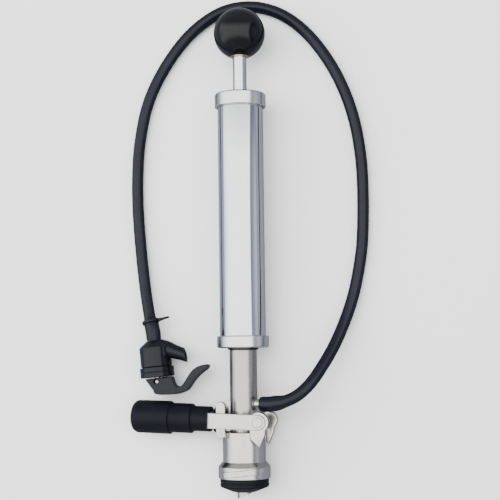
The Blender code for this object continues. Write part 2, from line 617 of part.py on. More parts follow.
# ---- barrel and piston ----

def ring_outline(inner, outer, low, high):
    return [(inner, low), (outer, low), (outer, high), (inner, high)]


def make_barrel(pump):
    bevel = CAP_BEVEL
    turned("lower_cap", [
        (TUBE_RADIUS + GAP, LOWER_CAP_BOTTOM), (CAP_RADIUS - bevel, LOWER_CAP_BOTTOM),
        (CAP_RADIUS, LOWER_CAP_BOTTOM + bevel), (CAP_RADIUS, LOWER_CAP_TOP - bevel / 2),
        (CAP_RADIUS - bevel / 2, LOWER_CAP_TOP), (BARREL_RADIUS + GAP, LOWER_CAP_TOP),
        (BARREL_RADIUS + GAP, LOWER_RECESS), (VALVE_CHAMBER_RADIUS, LOWER_RECESS),
        (VALVE_CHAMBER_RADIUS, TUBE_TOP + GAP), (TUBE_RADIUS + GAP, TUBE_TOP + GAP)], "chrome", pump)
    turned("tube_ring", ring_outline(
        TUBE_RADIUS + GAP, TUBE_RADIUS + 0.0016, LOWER_CAP_BOTTOM - GAP - 0.0014, LOWER_CAP_BOTTOM - GAP),
        "seal_rubber", pump)
    turned("barrel", ring_outline(BARREL_BORE, BARREL_RADIUS, BARREL_BOTTOM, BARREL_TOP), "chrome", pump, 32)
    lower_gasket = LOWER_RECESS + GAP
    turned("barrel_gasket_lower", ring_outline(
        BARREL_BORE, BARREL_RADIUS, lower_gasket, lower_gasket + GASKET_THICKNESS), "seal_rubber", pump)
    upper_gasket = BARREL_TOP + GAP
    turned("barrel_gasket_upper", ring_outline(
        BARREL_BORE, BARREL_RADIUS, upper_gasket, upper_gasket + GASKET_THICKNESS), "seal_rubber", pump)
    turned("upper_cap", [
        (ROD_BUSH_RADIUS + GAP, UPPER_CAP_TOP), (ROD_BUSH_RADIUS + GAP, UPPER_RECESS),
        (BARREL_RADIUS + GAP, UPPER_RECESS), (BARREL_RADIUS + GAP, UPPER_CAP_BOTTOM),
        (CAP_RADIUS - bevel, UPPER_CAP_BOTTOM), (CAP_RADIUS, UPPER_CAP_BOTTOM + bevel),
        (CAP_RADIUS, UPPER_CAP_TOP - bevel), (CAP_RADIUS - bevel, UPPER_CAP_TOP)], "chrome", pump)
    turned("rod_bush", [
        (ROD_RADIUS + GAP, ROD_BUSH_FLANGE_BOTTOM), (ROD_BUSH_RADIUS + 0.0025, ROD_BUSH_FLANGE_BOTTOM),
        (ROD_BUSH_RADIUS + 0.0025, UPPER_RECESS - GAP), (ROD_BUSH_RADIUS, UPPER_RECESS - GAP),
        (ROD_BUSH_RADIUS, UPPER_CAP_TOP), (ROD_RADIUS + GAP, UPPER_CAP_TOP)], "stainless", pump)

    plate = turned("valve_plate", ring_outline(
        VALVE_STEM_RADIUS + GAP, BARREL_BORE - GAP, VALVE_PLATE_BOTTOM, VALVE_PLATE_TOP),
        "white_nylon", pump)
    for i in range(6):
        hole = cylinder(f"valve_hole_{i}", VALVE_HOLE_RADIUS, VALVE_PLATE_BOTTOM - 0.002, VALVE_PLATE_TOP + 0.002,
                        pump, sides=10)
        angle = i * math.pi / 3 + VALVE_HOLE_TURN
        hole.location = (VALVE_HOLE_CIRCLE * math.cos(angle), VALVE_HOLE_CIRCLE * math.sin(angle), 0)
        cut(plate, hole)
    disc_top = LOWER_RECESS - GAP
    stem_top = VALVE_PLATE_TOP + VALVE_TRAVEL + GAP
    turned("valve_disc", [
        (0, disc_top - 0.0013), (VALVE_DISC_RADIUS, disc_top - 0.0008), (VALVE_DISC_RADIUS, disc_top),
        (VALVE_STEM_RADIUS, disc_top), (VALVE_STEM_RADIUS, stem_top), (VALVE_STEM_RADIUS + 0.0010, stem_top),
        (VALVE_STEM_RADIUS, VALVE_HEAD_TOP), (0, VALVE_HEAD_TOP)], "seal_rubber", pump, 24)


def make_piston(pump):
    hole = ROD_THREAD_RADIUS + GAP
    nut = cylinder("piston_nut", PISTON_NUT_RADIUS, PISTON_BOTTOM, PLATE_LOWER - GAP, pump, "zinc_steel", 6)
    cut(nut, cylinder("piston_nut_hole", hole, PISTON_BOTTOM - 0.002, PLATE_LOWER + 0.002, pump))
    skirt_inner = BARREL_BORE - GAP - 0.0020
    turned("piston_plate_lower", ring_outline(hole, skirt_inner - GAP, PLATE_LOWER, CUP_BOTTOM - GAP),
           "zinc_steel", pump)
    cup_top = CUP_BOTTOM + CUP_THICKNESS
    turned("piston_cup", [
        (hole, CUP_BOTTOM), (skirt_inner, CUP_BOTTOM), (skirt_inner, cup_top - CUP_SKIRT),
        (BARREL_BORE - GAP, cup_top - CUP_SKIRT), (BARREL_BORE - GAP, cup_top - 0.0010),
        (BARREL_BORE - GAP - 0.0010, cup_top), (hole, cup_top)], "leather", pump, 32)
    turned("piston_plate_upper", ring_outline(hole, BARREL_BORE - 0.0020, PLATE_UPPER, ROD_SHOULDER - GAP),
           "zinc_steel", pump)
    turned("piston_rod", [
        (0, PISTON_BOTTOM), (ROD_THREAD_RADIUS, PISTON_BOTTOM), (ROD_THREAD_RADIUS, ROD_SHOULDER),
        (ROD_RADIUS, ROD_SHOULDER), (ROD_RADIUS, ROD_TOP), (0, ROD_TOP)], "chrome", pump)
    turned("rod_bumper", ring_outline(
        ROD_RADIUS + GAP, ROD_RADIUS + 0.0050, ROD_SHOULDER + GAP, ROD_BUMPER_TOP), "seal_rubber", pump)

    insert_outer = ROD_RADIUS + GAP + KNOB_INSERT_WALL
    insert_bottom = KNOB_BOTTOM + 0.0020
    insert_top = insert_bottom + KNOB_INSERT_LENGTH
    turned("knob_insert", ring_outline(ROD_RADIUS + GAP, insert_outer, insert_bottom, insert_top),
           "brass", pump)
    mouth = insert_outer + GAP
    mouth_angle = math.degrees(math.asin(mouth / KNOB_RADIUS))
    ball = arc((0, KNOB_CENTRE), KNOB_RADIUS, mouth_angle - 90, 90, 13)
    ball[-1] = (0, KNOB_CENTRE + KNOB_RADIUS)
    turned("pump_knob", ball + [
        (0, ROD_TOP + GAP), (ROD_RADIUS + GAP, ROD_TOP + GAP), (ROD_RADIUS + GAP, insert_top + GAP),
        (mouth, insert_top + GAP)], "gloss_black", pump, 28)


# ---- hose ----

def smooth_route(points, spacing):
    """Evenly spaced points on a smooth curve through the given ones (centripetal Catmull-Rom)."""
    ends = [2 * points[0] - points[1]] + points + [2 * points[-1] - points[-2]]
    fine = []
    for a, b, c, d in zip(ends, ends[1:], ends[2:], ends[3:]):
        ta, tb = 0.0, (b - a).length ** 0.5
        tc = tb + (c - b).length ** 0.5
        td = tc + (d - c).length ** 0.5
        for i in range(24):
            t = tb + (tc - tb) * i / 24
            ab = a.lerp(b, (t - ta) / (tb - ta))
            bc = b.lerp(c, (t - tb) / (tc - tb))
            cd = c.lerp(d, (t - tc) / (td - tc))
            abc = ab.lerp(bc, (t - ta) / (tc - ta))
            bcd = bc.lerp(cd, (t - tb) / (td - tb))
            fine.append(abc.lerp(bcd, (t - tb) / (tc - tb)))
    fine.append(points[-1])
    reach = [0.0]
    for a, b in zip(fine, fine[1:]):
        reach.append(reach[-1] + (b - a).length)
    count = round(reach[-1] / spacing)
    even = []
    k = 0
    for i in range(count + 1):
        wanted = reach[-1] * i / count
        while k < len(reach) - 2 and reach[k + 1] < wanted:
            k += 1
        share = (wanted - reach[k]) / (reach[k + 1] - reach[k])
        even.append(fine[k].lerp(fine[k + 1], share))
    return even


def make_hose(bench, pump, faucet):
    """The hose from the barb's face to the faucet's face; returns its points on the bench."""
    barb_way = Vector((math.cos(BARB_TURN), math.sin(BARB_TURN), 0))
    pump_place = pump.matrix_basis
    barb_exit = pump_place @ (barb_way * (BARB_END + GAP) + Vector((0, 0, BARB_HEIGHT)))
    barb_way = pump_place.to_3x3() @ barb_way
    faucet_place = faucet.matrix_basis
    faucet_top = faucet_place @ Vector((0, 0, GAP))
    faucet_way = faucet_place.to_3x3() @ Vector((0, 0, 1))
    route = [barb_exit, barb_exit + barb_way * EXIT_STRAIGHT]
    route += [Vector(p) for p in HOSE_ROUTE]
    route += [faucet_top + faucet_way * EXIT_STRAIGHT, faucet_top]
    points = smooth_route(route, HOSE_POINT_SPACING)
    curve = bpy.data.curves.new("beer_hose", "CURVE")
    curve.dimensions = "3D"
    curve.bevel_depth = HOSE_RADIUS
    curve.bevel_resolution = 2
    curve.use_fill_caps = True
    curve.render_resolution_u = 0
    spline = curve.splines.new("POLY")
    spline.points.add(len(points) - 1)
    for place, point in zip(spline.points, points):
        place.co = (*point, 1.0)
    curve.materials.append(finish_material("hose_black"))
    hose = bpy.data.objects.new("beer_hose", curve)
    bpy.context.collection.objects.link(hose)
    hose.parent = bench
    return points


def make_clamp(bench, points):
    """A band round the hose near the faucet, with a tapered tail."""
    travelled = 0.0
    k = len(points) - 1
    while travelled < CLAMP_DISTANCE:
        travelled += (points[k] - points[k - 1]).length
        k -= 1
    way = (points[k] - points[k + 1]).normalized()
    centre = points[k + 1].lerp(points[k], 1 - (travelled - CLAMP_DISTANCE) / (points[k] - points[k + 1]).length)
    side = Vector((1, 0, 0)) - way * way.x
    side.normalize()
    up = way.cross(side)
    holder = empty("clamp_frame", bench)
    rows = Matrix((side, up, way)).transposed()
    holder.matrix_basis = Matrix.Translation(centre) @ rows.to_4x4()
    half = CLAMP_HEIGHT / 2
    clamp = turned("hose_clamp", ring_outline(CLAMP_RADIUS - CLAMP_WALL, CLAMP_RADIUS, -half, half),
                   "faucet_black", holder, 24)
    tail = prism("clamp_tail_guide", [
        (CLAMP_RADIUS - 0.0006, -half), (CLAMP_RADIUS + CLAMP_TAIL, -0.0006),
        (CLAMP_RADIUS + CLAMP_TAIL, 0.0006), (CLAMP_RADIUS - 0.0006, half)], -0.0016, 0.0016,
        "faucet_black", holder)
    add(clamp, tail)


# ---- faucet ----

def spout_solid(name, radii, faucet):
    """A tapered round body along the spout, from (distance back from its mouth, radius) points."""
    outline = [(0, radii[0][0])] + [(radius, distance) for distance, radius in radii] + [(0, radii[-1][0])]
    spout = turned(name, outline, "faucet_black", faucet, 20)
    spout.rotation_euler = (0, math.pi / 2 + SPOUT_SLOPE - math.pi, 0)
    spout.location = (SPOUT_REACH, 0, -SPOUT_DEPTH)
    return spout


def make_faucet(faucet):
    body = turned("faucet_body", [
        (0, 0), (INLET_RADIUS, 0), (FAUCET_BODY_RADIUS - 0.0015, -FAUCET_SHOULDER + 0.0008),
        (FAUCET_BODY_RADIUS, -FAUCET_SHOULDER - 0.0008), (FAUCET_BODY_RADIUS, -FAUCET_BODY_LENGTH),
        (SPIGOT_RADIUS, -FAUCET_BODY_LENGTH), (SPIGOT_RADIUS, -FAUCET_BODY_LENGTH - SPIGOT_LENGTH),
        (0, -FAUCET_BODY_LENGTH - SPIGOT_LENGTH)], "faucet_black", faucet, 28)
    add(body, spout_solid("spout_guide", (
        (-0.0060, SPOUT_RADIUS), (0.0060, 0.0062), (0.0100, 0.0066), (0.0135, 0.0071), (0.0170, 0.0077),
        (0.0210, 0.0081), (0.0268, 0.0078)), faucet))
    chamber = turned("faucet_chamber", [
        (0, 0.01), (INLET_BORE, 0.01), (INLET_BORE, -SEAT_DEPTH), (CHAMBER_RADIUS, -SEAT_DEPTH),
        (CHAMBER_RADIUS, -0.04), (0, -0.04)], "faucet_black", faucet, 24)
    across = (-math.sin(SPOUT_CUT), math.cos(SPOUT_CUT))
    outward = (math.cos(SPOUT_CUT), math.sin(SPOUT_CUT))
    mouth_cut = prism("spout_mouth_cut", [
        (SPOUT_REACH + a * across[0] + b * outward[0], -SPOUT_DEPTH + a * across[1] + b * outward[1])
        for a, b in ((0.012, 0), (-0.012, 0), (-0.012, 0.012), (0.012, 0.012))],
        -0.012, 0.012, "faucet_black", faucet)
    cut(body, chamber, spout_solid("spout_bore", ((-0.0100, SPOUT_BORE), (0.0220, SPOUT_BORE)), faucet), mouth_cut)
    # the exact solver leaves doubled faces where the slanted cut crosses the bore
    body.modifiers[mouth_cut.name].solver = "MANIFOLD"

    floor = BONNET_BOTTOM - BONNET_FLOOR
    turned("faucet_bonnet", [
        (SPIGOT_RADIUS + GAP, -BONNET_TOP), (BONNET_RADIUS - 0.0005, -BONNET_TOP),
        (BONNET_RADIUS, -BONNET_TOP - 0.0005), (BONNET_RADIUS, -BONNET_BOTTOM + 0.0005),
        (BONNET_RADIUS - 0.0005, -BONNET_BOTTOM), (PLUNGER_RADIUS + GAP, -BONNET_BOTTOM),
        (PLUNGER_RADIUS + GAP, -floor), (SPIGOT_RADIUS + GAP, -floor)], "faucet_black", faucet, 28)

    seal_bottom = SEAT_DEPTH + GAP + 0.0024
    turned("plunger_seal", [
        (0, -SEAT_DEPTH - GAP), (0.0055, -SEAT_DEPTH - GAP), (0.0060, -SEAT_DEPTH - GAP - 0.0008),
        (0.0060, -seal_bottom), (0, -seal_bottom)], "seal_rubber", faucet, 24)
    flange_top = seal_bottom + GAP
    flange_bottom = flange_top + 0.0018
    plunger = turned("plunger", [
        (0, -flange_top), (PLUNGER_FLANGE_RADIUS, -flange_top), (PLUNGER_FLANGE_RADIUS, -flange_bottom),
        (PLUNGER_RADIUS, -flange_bottom), (PLUNGER_RADIUS, -PLUNGER_END), (0, -PLUNGER_END)],
        "stainless", faucet, 24)
    pin_hole = cylinder("plunger_pin_hole", PLUNGER_PIN_RADIUS + 0.0002, -0.01, 0.01, faucet, sides=16)
    cut(plunger, point_along_y(pin_hole, 0, -PLUNGER_PIN_DEPTH, 1))
    pin = cylinder("plunger_pin", PLUNGER_PIN_RADIUS, -TRIGGER_WIDTH / 2 + 0.0004,
                   TRIGGER_WIDTH / 2 - 0.0004, faucet, "stainless", 16)
    point_along_y(pin, 0, -PLUNGER_PIN_DEPTH, 1)
    make_spring(faucet, flange_bottom + PLUNGER_TRAVEL + 2 * GAP, floor - GAP)


def make_spring(faucet, top, bottom):
    """The plunger's return spring, a round wire wound between two depths."""
    rise = (bottom - top - 2 * SPRING_WIRE)
    count = SPRING_TURNS * 9
    curve = bpy.data.curves.new("plunger_spring", "CURVE")
    curve.dimensions = "3D"
    curve.bevel_depth = SPRING_WIRE
    curve.bevel_resolution = 1
    curve.use_fill_caps = True
    curve.render_resolution_u = 0
    spline = curve.splines.new("POLY")
    spline.points.add(count)
    for i, place in enumerate(spline.points):
        angle = 2 * math.pi * i / 9
        depth = top + SPRING_WIRE + rise * i / count
        place.co = (SPRING_RADIUS * math.cos(angle), SPRING_RADIUS * math.sin(angle), -depth, 1.0)
    curve.materials.append(finish_material("zinc_steel"))
    spring = bpy.data.objects.new("plunger_spring", curve)
    bpy.context.collection.objects.link(spring)
    spring.parent = faucet


def make_trigger(trigger):
    """The squeeze lever: a slotted head under the bonnet and a finger hook."""
    def moved(points):
        return [(x - FULCRUM[0], z - FULCRUM[1]) for x, z in points]

    half = TRIGGER_WIDTH / 2
    outline = moved(TRIGGER_OUTER + TRIGGER_INNER)
    body = prism("faucet_trigger", outline, -half, half, "faucet_black", trigger)
    turn = TRIGGER_SWING
    slot_side = PLUNGER_RADIUS + 0.0008
    drift = FULCRUM[0] * (1 - math.cos(turn)) + (PLUNGER_END + PLUNGER_TRAVEL + FULCRUM[1]) * math.sin(turn)
    slot = prism("plunger_slot", moved([
        (-slot_side - drift, -PLUNGER_END - 0.0010), (slot_side, -PLUNGER_END - 0.0010),
        (slot_side + 0.0006, -0.0300), (-slot_side, -0.0300)]),
        -TRIGGER_SLOT / 2, TRIGGER_SLOT / 2, "faucet_black", trigger)
    pin_drop = PLUNGER_PIN_DEPTH + FULCRUM[1] + PLUNGER_TRAVEL
    pin_shift = -FULCRUM[0] * math.cos(turn) - pin_drop * math.sin(turn)
    pin_level = FULCRUM[0] * math.sin(turn) - pin_drop * math.cos(turn)
    play = PLUNGER_PIN_RADIUS + 0.0004
    start = (-FULCRUM[0], -PLUNGER_PIN_DEPTH - FULCRUM[1])
    pin_slot = prism("plunger_pin_slot", arc(start, play, -90, 90, 8) + arc((pin_shift, pin_level), play, 90, 270, 8),
                     -half - 0.001, half + 0.001, "faucet_black", trigger)
    cut(body, slot, pin_slot)


# ---- the whole object ----

def centre_on_base(bench, cord_pieces):
    """Move the bench so that the box of the pieces that aren't on the hose stands on the origin."""
    bpy.context.view_layer.update()
    graph = bpy.context.evaluated_depsgraph_get()
    low = Vector((1, 1, 1))
    high = Vector((-1, -1, -1))
    for thing in bpy.context.scene.objects:
        if thing.type != "MESH" or thing.hide_render or thing.name in cord_pieces:
            continue
        shown = thing.evaluated_get(graph)
        for vertex in shown.data.vertices:
            place = shown.matrix_world @ vertex.co
            low = Vector(map(min, low, place))
            high = Vector(map(max, high, place))
    bench.location = (-(low.x + high.x) / 2, -(low.y + high.y) / 2, -low.z)
    bpy.context.view_layer.update()


def build():
    for thing in list(bpy.data.objects):
        bpy.data.objects.remove(thing, do_unlink=True)
    bench = empty("bench")
    pump = empty("pump_frame", bench)
    pump.rotation_mode = "ZYX"
    pump.rotation_euler = (-math.pi / 2 + AXIS_INCLINE, 0, AXIS_ROLL)
    pump.location = (0, 0, LUG_RADIUS)
    lever = empty("lever_frame", pump)
    lever.location = (PIVOT_X, 0, PIVOT_Z)
    lever.rotation_euler = (0, LEVER_RISE, 0)
    faucet = empty("faucet_frame", bench)
    faucet.rotation_euler = (-math.pi / 2, 0, FAUCET_TURN)
    faucet.location = (*FAUCET_PLACE, FAUCET_HEIGHT)
    trigger = empty("trigger_frame", faucet)
    trigger.location = (FULCRUM[0], 0, FULCRUM[1])
    bpy.context.view_layer.update()

    make_coupler(pump)
    make_seals(pump)
    make_pivot_screws(pump)
    make_lever(lever)
    make_probe(pump)
    make_barrel(pump)
    make_piston(pump)
    points = make_hose(bench, pump, faucet)
    make_clamp(bench, points)
    make_faucet(faucet)
    make_trigger(trigger)
    centre_on_base(bench, {"hose_clamp", "faucet_body", "faucet_bonnet", "plunger", "plunger_seal",
                           "plunger_pin", "faucet_trigger"})


build()
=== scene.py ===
"""Keg party pump: the visual model of the pump, its lever coupler, its hose and its squeeze faucet."""
import json
import math

import bmesh
import bpy
from bpy.props import FloatProperty, FloatVectorProperty, IntProperty, PointerProperty
from mathutils import Matrix, Vector


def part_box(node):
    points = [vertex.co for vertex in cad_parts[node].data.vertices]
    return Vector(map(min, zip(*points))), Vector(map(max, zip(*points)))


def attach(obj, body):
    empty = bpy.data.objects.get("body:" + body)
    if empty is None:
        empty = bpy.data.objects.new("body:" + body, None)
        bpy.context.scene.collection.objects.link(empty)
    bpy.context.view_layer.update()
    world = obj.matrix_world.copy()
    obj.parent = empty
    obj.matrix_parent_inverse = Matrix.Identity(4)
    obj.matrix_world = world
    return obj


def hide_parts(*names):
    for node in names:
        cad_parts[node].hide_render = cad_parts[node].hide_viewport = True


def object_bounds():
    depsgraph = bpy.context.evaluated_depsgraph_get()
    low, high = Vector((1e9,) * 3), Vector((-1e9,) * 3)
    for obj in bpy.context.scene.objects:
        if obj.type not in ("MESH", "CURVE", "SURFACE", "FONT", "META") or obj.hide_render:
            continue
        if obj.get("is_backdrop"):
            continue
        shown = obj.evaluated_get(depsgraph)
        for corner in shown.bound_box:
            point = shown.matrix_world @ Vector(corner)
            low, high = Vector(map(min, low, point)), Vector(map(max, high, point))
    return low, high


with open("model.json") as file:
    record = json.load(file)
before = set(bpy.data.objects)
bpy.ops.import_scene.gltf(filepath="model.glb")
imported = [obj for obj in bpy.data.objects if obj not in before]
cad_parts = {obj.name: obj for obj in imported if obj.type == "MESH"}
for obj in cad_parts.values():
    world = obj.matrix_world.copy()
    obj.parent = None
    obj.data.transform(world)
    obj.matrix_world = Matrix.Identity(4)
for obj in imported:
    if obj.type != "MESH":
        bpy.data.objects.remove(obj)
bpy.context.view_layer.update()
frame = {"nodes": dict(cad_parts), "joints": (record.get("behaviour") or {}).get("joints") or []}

bl_info = {
    "name": "Keg party pump",
    "version": (1, 0, 0),
    "blender": (4, 5, 0),
    "location": "View3D > Sidebar > Keg pump",
    "description": "Builds a keg party pump with a lever coupler, a beer hose and a squeeze faucet",
    "category": "Add Mesh",
}

GAP = 0.0003

# ---- coupler ----
LUG_RADIUS = 0.0252
BASE_RADIUS = 0.0239
BASE_HEIGHT = 0.0106
FLARE_TOP = 0.0151
NECK_RADIUS = 0.0197
NECK_TOP = 0.0422
CAVITY_RADIUS = 0.0157
FLOOR_THICKNESS = 0.0055
THROAT_RADIUS = 0.0099
LUG_HEIGHT = 0.0055
LUG_START_HEIGHT = 0.0012
LUG_RISE = 0.0048
LUG_SPAN = math.radians(110)
LUG_ANGLES = (math.radians(229), math.radians(49))
EAR_THICKNESS = 0.0040
EAR_BOSS_RADIUS = 0.0092
EAR_FOOT_SPREAD = 0.0060
EAR_FOOT_START = 0.0112
GUARD_WIDTH = 0.0085
GUARD_EDGE = -0.0213
GUARD_TOP = 0.0700
SEAL_WALL_RADIUS = 0.0224
SEAL_WALL_HEIGHT = 0.0078
SEAL_CONE_RADIUS = 0.0110
SEAL_HEIGHT = 0.0122

# ---- lever ----
PIVOT_X = 0.0183
PIVOT_Z = 0.0515
PIVOT_SCREW_RADIUS = 0.0032
PIVOT_THREAD_RADIUS = 0.0026
PIVOT_HEAD_RADIUS = 0.0046
PIVOT_HEAD_DEPTH = 0.0014
SPANNER_HOLE_RADIUS = 0.0010
SPANNER_HOLE_SPREAD = 0.0021
DRIVE_PIN_X = -0.0035
DRIVE_PIN_RADIUS = 0.0020
LEVER_RISE = math.radians(1.9)
PROBE_TRAVEL = 0.0076
ARM_HEIGHT = 0.0140
ARM_THICKNESS = 0.0032
ARM_CORNER_RADIUS = 0.0060
ARM_INNER = 0.0203
ARM_OUTER = 0.0235
BRIDGE_THICKNESS = 0.0036
GRIP_START = 0.0492
GRIP_STEPS = ((0.0177, 0.0116), (0.0210, 0.0137), (0.0376, 0.0153))
GRIP_END_ROUND = 0.0065
SPINDLE_RADIUS = 0.0040
BUMPER_RADIUS = 0.0119
SPINDLE_HEAD_RADIUS = 0.0056
SPINDLE_HEAD_THICKNESS = 0.0012
NECK_CLEARANCE = 0.0006

# ---- probe, tube and barrel ----
TUBE_RADIUS = 0.0126
TUBE_BORE = 0.0110
STEM_RADIUS = 0.0067
STEM_LENGTH = 0.0190
STEM_BORE = 0.0038
TIP_SLANT = math.radians(22)
BARB_HEIGHT = 0.0672
BARB_TURN = math.radians(-12)
BARB_FLANGE_RADIUS = 0.0046
BARB_FLANGE_LENGTH = 0.0047
BARB_BORE = 0.0022
BARREL_RADIUS = 0.0212
BARREL_BORE = 0.0198
CAP_RADIUS = 0.0240
CAP_BEVEL = 0.0012
LOWER_CAP_BOTTOM = 0.1185
LOWER_CAP_TOP = 0.1295
CAP_RECESS = 0.0035
UPPER_CAP_BOTTOM = 0.3429
UPPER_CAP_TOP = 0.3557
ROD_RADIUS = 0.0064
ROD_SHOWN = 0.0340
KNOB_RADIUS = 0.0242

# ---- hose ----
HOSE_RADIUS = 0.0056
EXIT_STRAIGHT = 0.0080
HOSE_ROUTE = (
    (0.0390, 0.0694, 0.0372), (0.0504, 0.0745, 0.0370), (0.0620, 0.0850, 0.0340),
    (0.0734, 0.1015, 0.0268), (0.0844, 0.1216, 0.0180), (0.0942, 0.1450, 0.0110),
    (0.1016, 0.1677, 0.0075), (0.1069, 0.1920, 0.0061), (0.1102, 0.2145, 0.0058),
    (0.1118, 0.2494, 0.0058), (0.1114, 0.2856, 0.0058), (0.1091, 0.3096, 0.0058),
    (0.1048, 0.3334, 0.0058), (0.0976, 0.3574, 0.0058), (0.0867, 0.3822, 0.0058),
    (0.0718, 0.4062, 0.0058), (0.0550, 0.4256, 0.0058), (0.0354, 0.4400, 0.0058),
    (0.0130, 0.4478, 0.0058), (-0.0096, 0.4480, 0.0058), (-0.0290, 0.4416, 0.0058),
    (-0.0534, 0.4239, 0.0058), (-0.0765, 0.3950, 0.0058), (-0.0946, 0.3590, 0.0058),
    (-0.1032, 0.3197, 0.0058), (-0.1055, 0.2892, 0.0058), (-0.1054, 0.2588, 0.0058),
    (-0.1026, 0.2193, 0.0062), (-0.0976, 0.1798, 0.0092), (-0.0919, 0.1500, 0.0140),
)

# ---- faucet ----
INLET_RADIUS = 0.0072
INLET_BORE = 0.0034
FAUCET_BODY_RADIUS = 0.0147
FAUCET_SHOULDER = 0.0055
FAUCET_BODY_LENGTH = 0.0246
SPIGOT_RADIUS = 0.0126
SPIGOT_LENGTH = 0.0059
CHAMBER_RADIUS = 0.0108
SEAT_DEPTH = 0.0090
BONNET_RADIUS = 0.0160
BONNET_LENGTH = 0.0094
BONNET_FLOOR = 0.0032
SPOUT_RADIUS = 0.0061
SPOUT_BORE = 0.0043
# distance from the spout's mouth and radius there
SPOUT_STEPS = (
    (-0.0060, SPOUT_RADIUS), (0.0030, 0.0061), (0.0060, 0.0062), (0.0080, 0.0064), (0.0100, 0.0066),
    (0.0118, 0.0068), (0.0135, 0.0071), (0.0152, 0.0074), (0.0170, 0.0077), (0.0210, 0.0081),
    (0.0268, 0.0078),
)
SPOUT_REACH = 0.0289
SPOUT_DEPTH = 0.0168
SPOUT_SLOPE = math.radians(23)
SPOUT_CUT = math.radians(6)
PLUNGER_RADIUS = 0.0022
PLUNGER_PIN_RADIUS = 0.0015
PLUNGER_PIN_DEPTH = 0.0386
PLUNGER_END = 0.0418
PLUNGER_TRAVEL = 0.0041
TRIGGER_WIDTH = 0.0120
TRIGGER_SLOT = 0.0052
TRIGGER_SWING = math.radians(16)
FULCRUM = (0.0148, -0.0346)
TRIGGER_OUTER = (
    (-0.0111, -0.0350), (-0.0048, -0.0458), (-0.0016, -0.0504), (0.0143, -0.0521),
    (0.0220, -0.0515), (0.0288, -0.0489), (0.0342, -0.0428), (0.0395, -0.0377),
    (0.0445, -0.0344), (0.0486, -0.0320), (0.0503, -0.0292),
)
TRIGGER_INNER = (
    (0.0491, -0.0277), (0.0452, -0.0279), (0.0405, -0.0287), (0.0354, -0.0311),
    (0.0302, -0.0362), (0.0258, -0.0419), (0.0227, -0.0449), (0.0198, -0.0453),
    (0.0171, -0.0439), (0.0156, -0.0404), (0.0151, -0.0366), (0.0140, -0.0350),
)
CLAMP_DISTANCE = 0.0180
CLAMP_RADIUS = 0.0084
CLAMP_WALL = 0.0010
CLAMP_HEIGHT = 0.0028
CLAMP_TAIL = 0.0100

SIDES = (("near", -1), ("far", 1))
PIN_ARM = PIVOT_X - DRIVE_PIN_X
LEVER_DROP = math.atan(PROBE_TRAVEL / PIN_ARM - math.tan(LEVER_RISE))


# ---- where the groups of pieces stand ----

def joint(name):
    return next(item for item in frame["joints"] if item["name"] == name)


def joint_place(name):
    return Vector(joint(name)["pos_m"])


def joint_axis(name):
    return Vector(joint(name)["axis"]).normalized()


def axes_matrix(origin, x, y, z):
    rows = Matrix((x, y, z)).transposed()
    return Matrix.Translation(origin) @ rows.to_4x4()


def pump_matrix():
    """Local Z is the pump's axis and -Y faces up; the origin is under the coupler's flange."""
    up = joint_axis("piston_slide")
    across = -joint_axis("lever_pivot")
    right = across.cross(up)
    return axes_matrix(joint_place("lever_pivot") - right * PIVOT_X - up * PIVOT_Z, right, across, up)


def lever_matrix():
    return pump_matrix() @ Matrix.Translation((PIVOT_X, 0, PIVOT_Z)) @ Matrix.Rotation(LEVER_RISE, 4, "Y")


def faucet_matrix():
    up = -joint_axis("plunger_slide")
    across = -joint_axis("trigger_pivot")
    right = across.cross(up)
    return axes_matrix(joint_place("trigger_pivot") - right * FULCRUM[0] - up * FULCRUM[1], right, across, up)


def bench_shift():
    return pump_matrix().translation - Vector((0, 0, LUG_RADIUS))


# ---- outlines ----

def arc(centre, radius, start, end, count):
    angles = [math.radians(start + (end - start) * i / count) for i in range(count + 1)]
    return [(centre[0] + radius * math.cos(a), centre[1] + radius * math.sin(a)) for a in angles]


def softened(outline, radius, closed=False, steps=4):
    """The outline with its sharp corners rounded; a point on the turning axis is left alone."""
    points = [Vector(p) for p in outline]
    count = len(points)
    result = []
    for i, corner in enumerate(points):
        if corner.x == 0 or (not closed and i in (0, count - 1)):
            result.append(corner)
            continue
        before = points[i - 1] - corner
        after = points[(i + 1) % count] - corner
        turn = math.pi - before.angle(after)
        if turn < math.radians(25):
            result.append(corner)
            continue
        reach = min(radius * math.tan(turn / 2), 0.45 * before.length, 0.45 * after.length)
        start = corner + before.normalized() * reach
        end = corner + after.normalized() * reach
        for k in range(steps + 1):
            t = k / steps
            result.append(start.lerp(corner, t).lerp(corner.lerp(end, t), t))
    return [(p.x, p.y) for p in result]


def flowing(points, steps=5):
    """A smooth open line through the points (Catmull-Rom)."""
    path = [Vector(p) for p in points]
    path = [2 * path[0] - path[1]] + path + [2 * path[-1] - path[-2]]
    line = []
    for a, b, c, d in zip(path, path[1:], path[2:], path[3:]):
        for i in range(steps):
            t = i / steps
            line.append(0.5 * ((2 * b) + (c - a) * t + (2 * a - 5 * b + 4 * c - d) * t * t
                               + (3 * b - a - 3 * c + d) * t ** 3))
    line.append(path[-2])
    return [tuple(p) for p in line]


# ---- meshes ----

def clear_of_neck(radius):
    """Nearest distance from the pivot for a round edge that misses the neck when the lever is down."""
    reach = PIVOT_X + NECK_RADIUS + NECK_CLEARANCE + radius * math.sin(LEVER_DROP)
    return reach / math.cos(LEVER_DROP)


def piece(name, bm, matrix, finish=None):
    bmesh.ops.recalc_face_normals(bm, faces=bm.faces)
    mesh = bpy.data.meshes.new(name)
    bm.to_mesh(mesh)
    bm.free()
    thing = bpy.data.objects.new(name, mesh)
    bpy.context.scene.collection.objects.link(thing)
    thing.matrix_world = matrix
    if finish:
        mesh.materials.append(finish)
    smooth(thing)
    return thing


def smooth(thing, angle=35):
    thing.data.shade_smooth()
    thing.data.set_sharp_from_angle(angle=math.radians(angle))


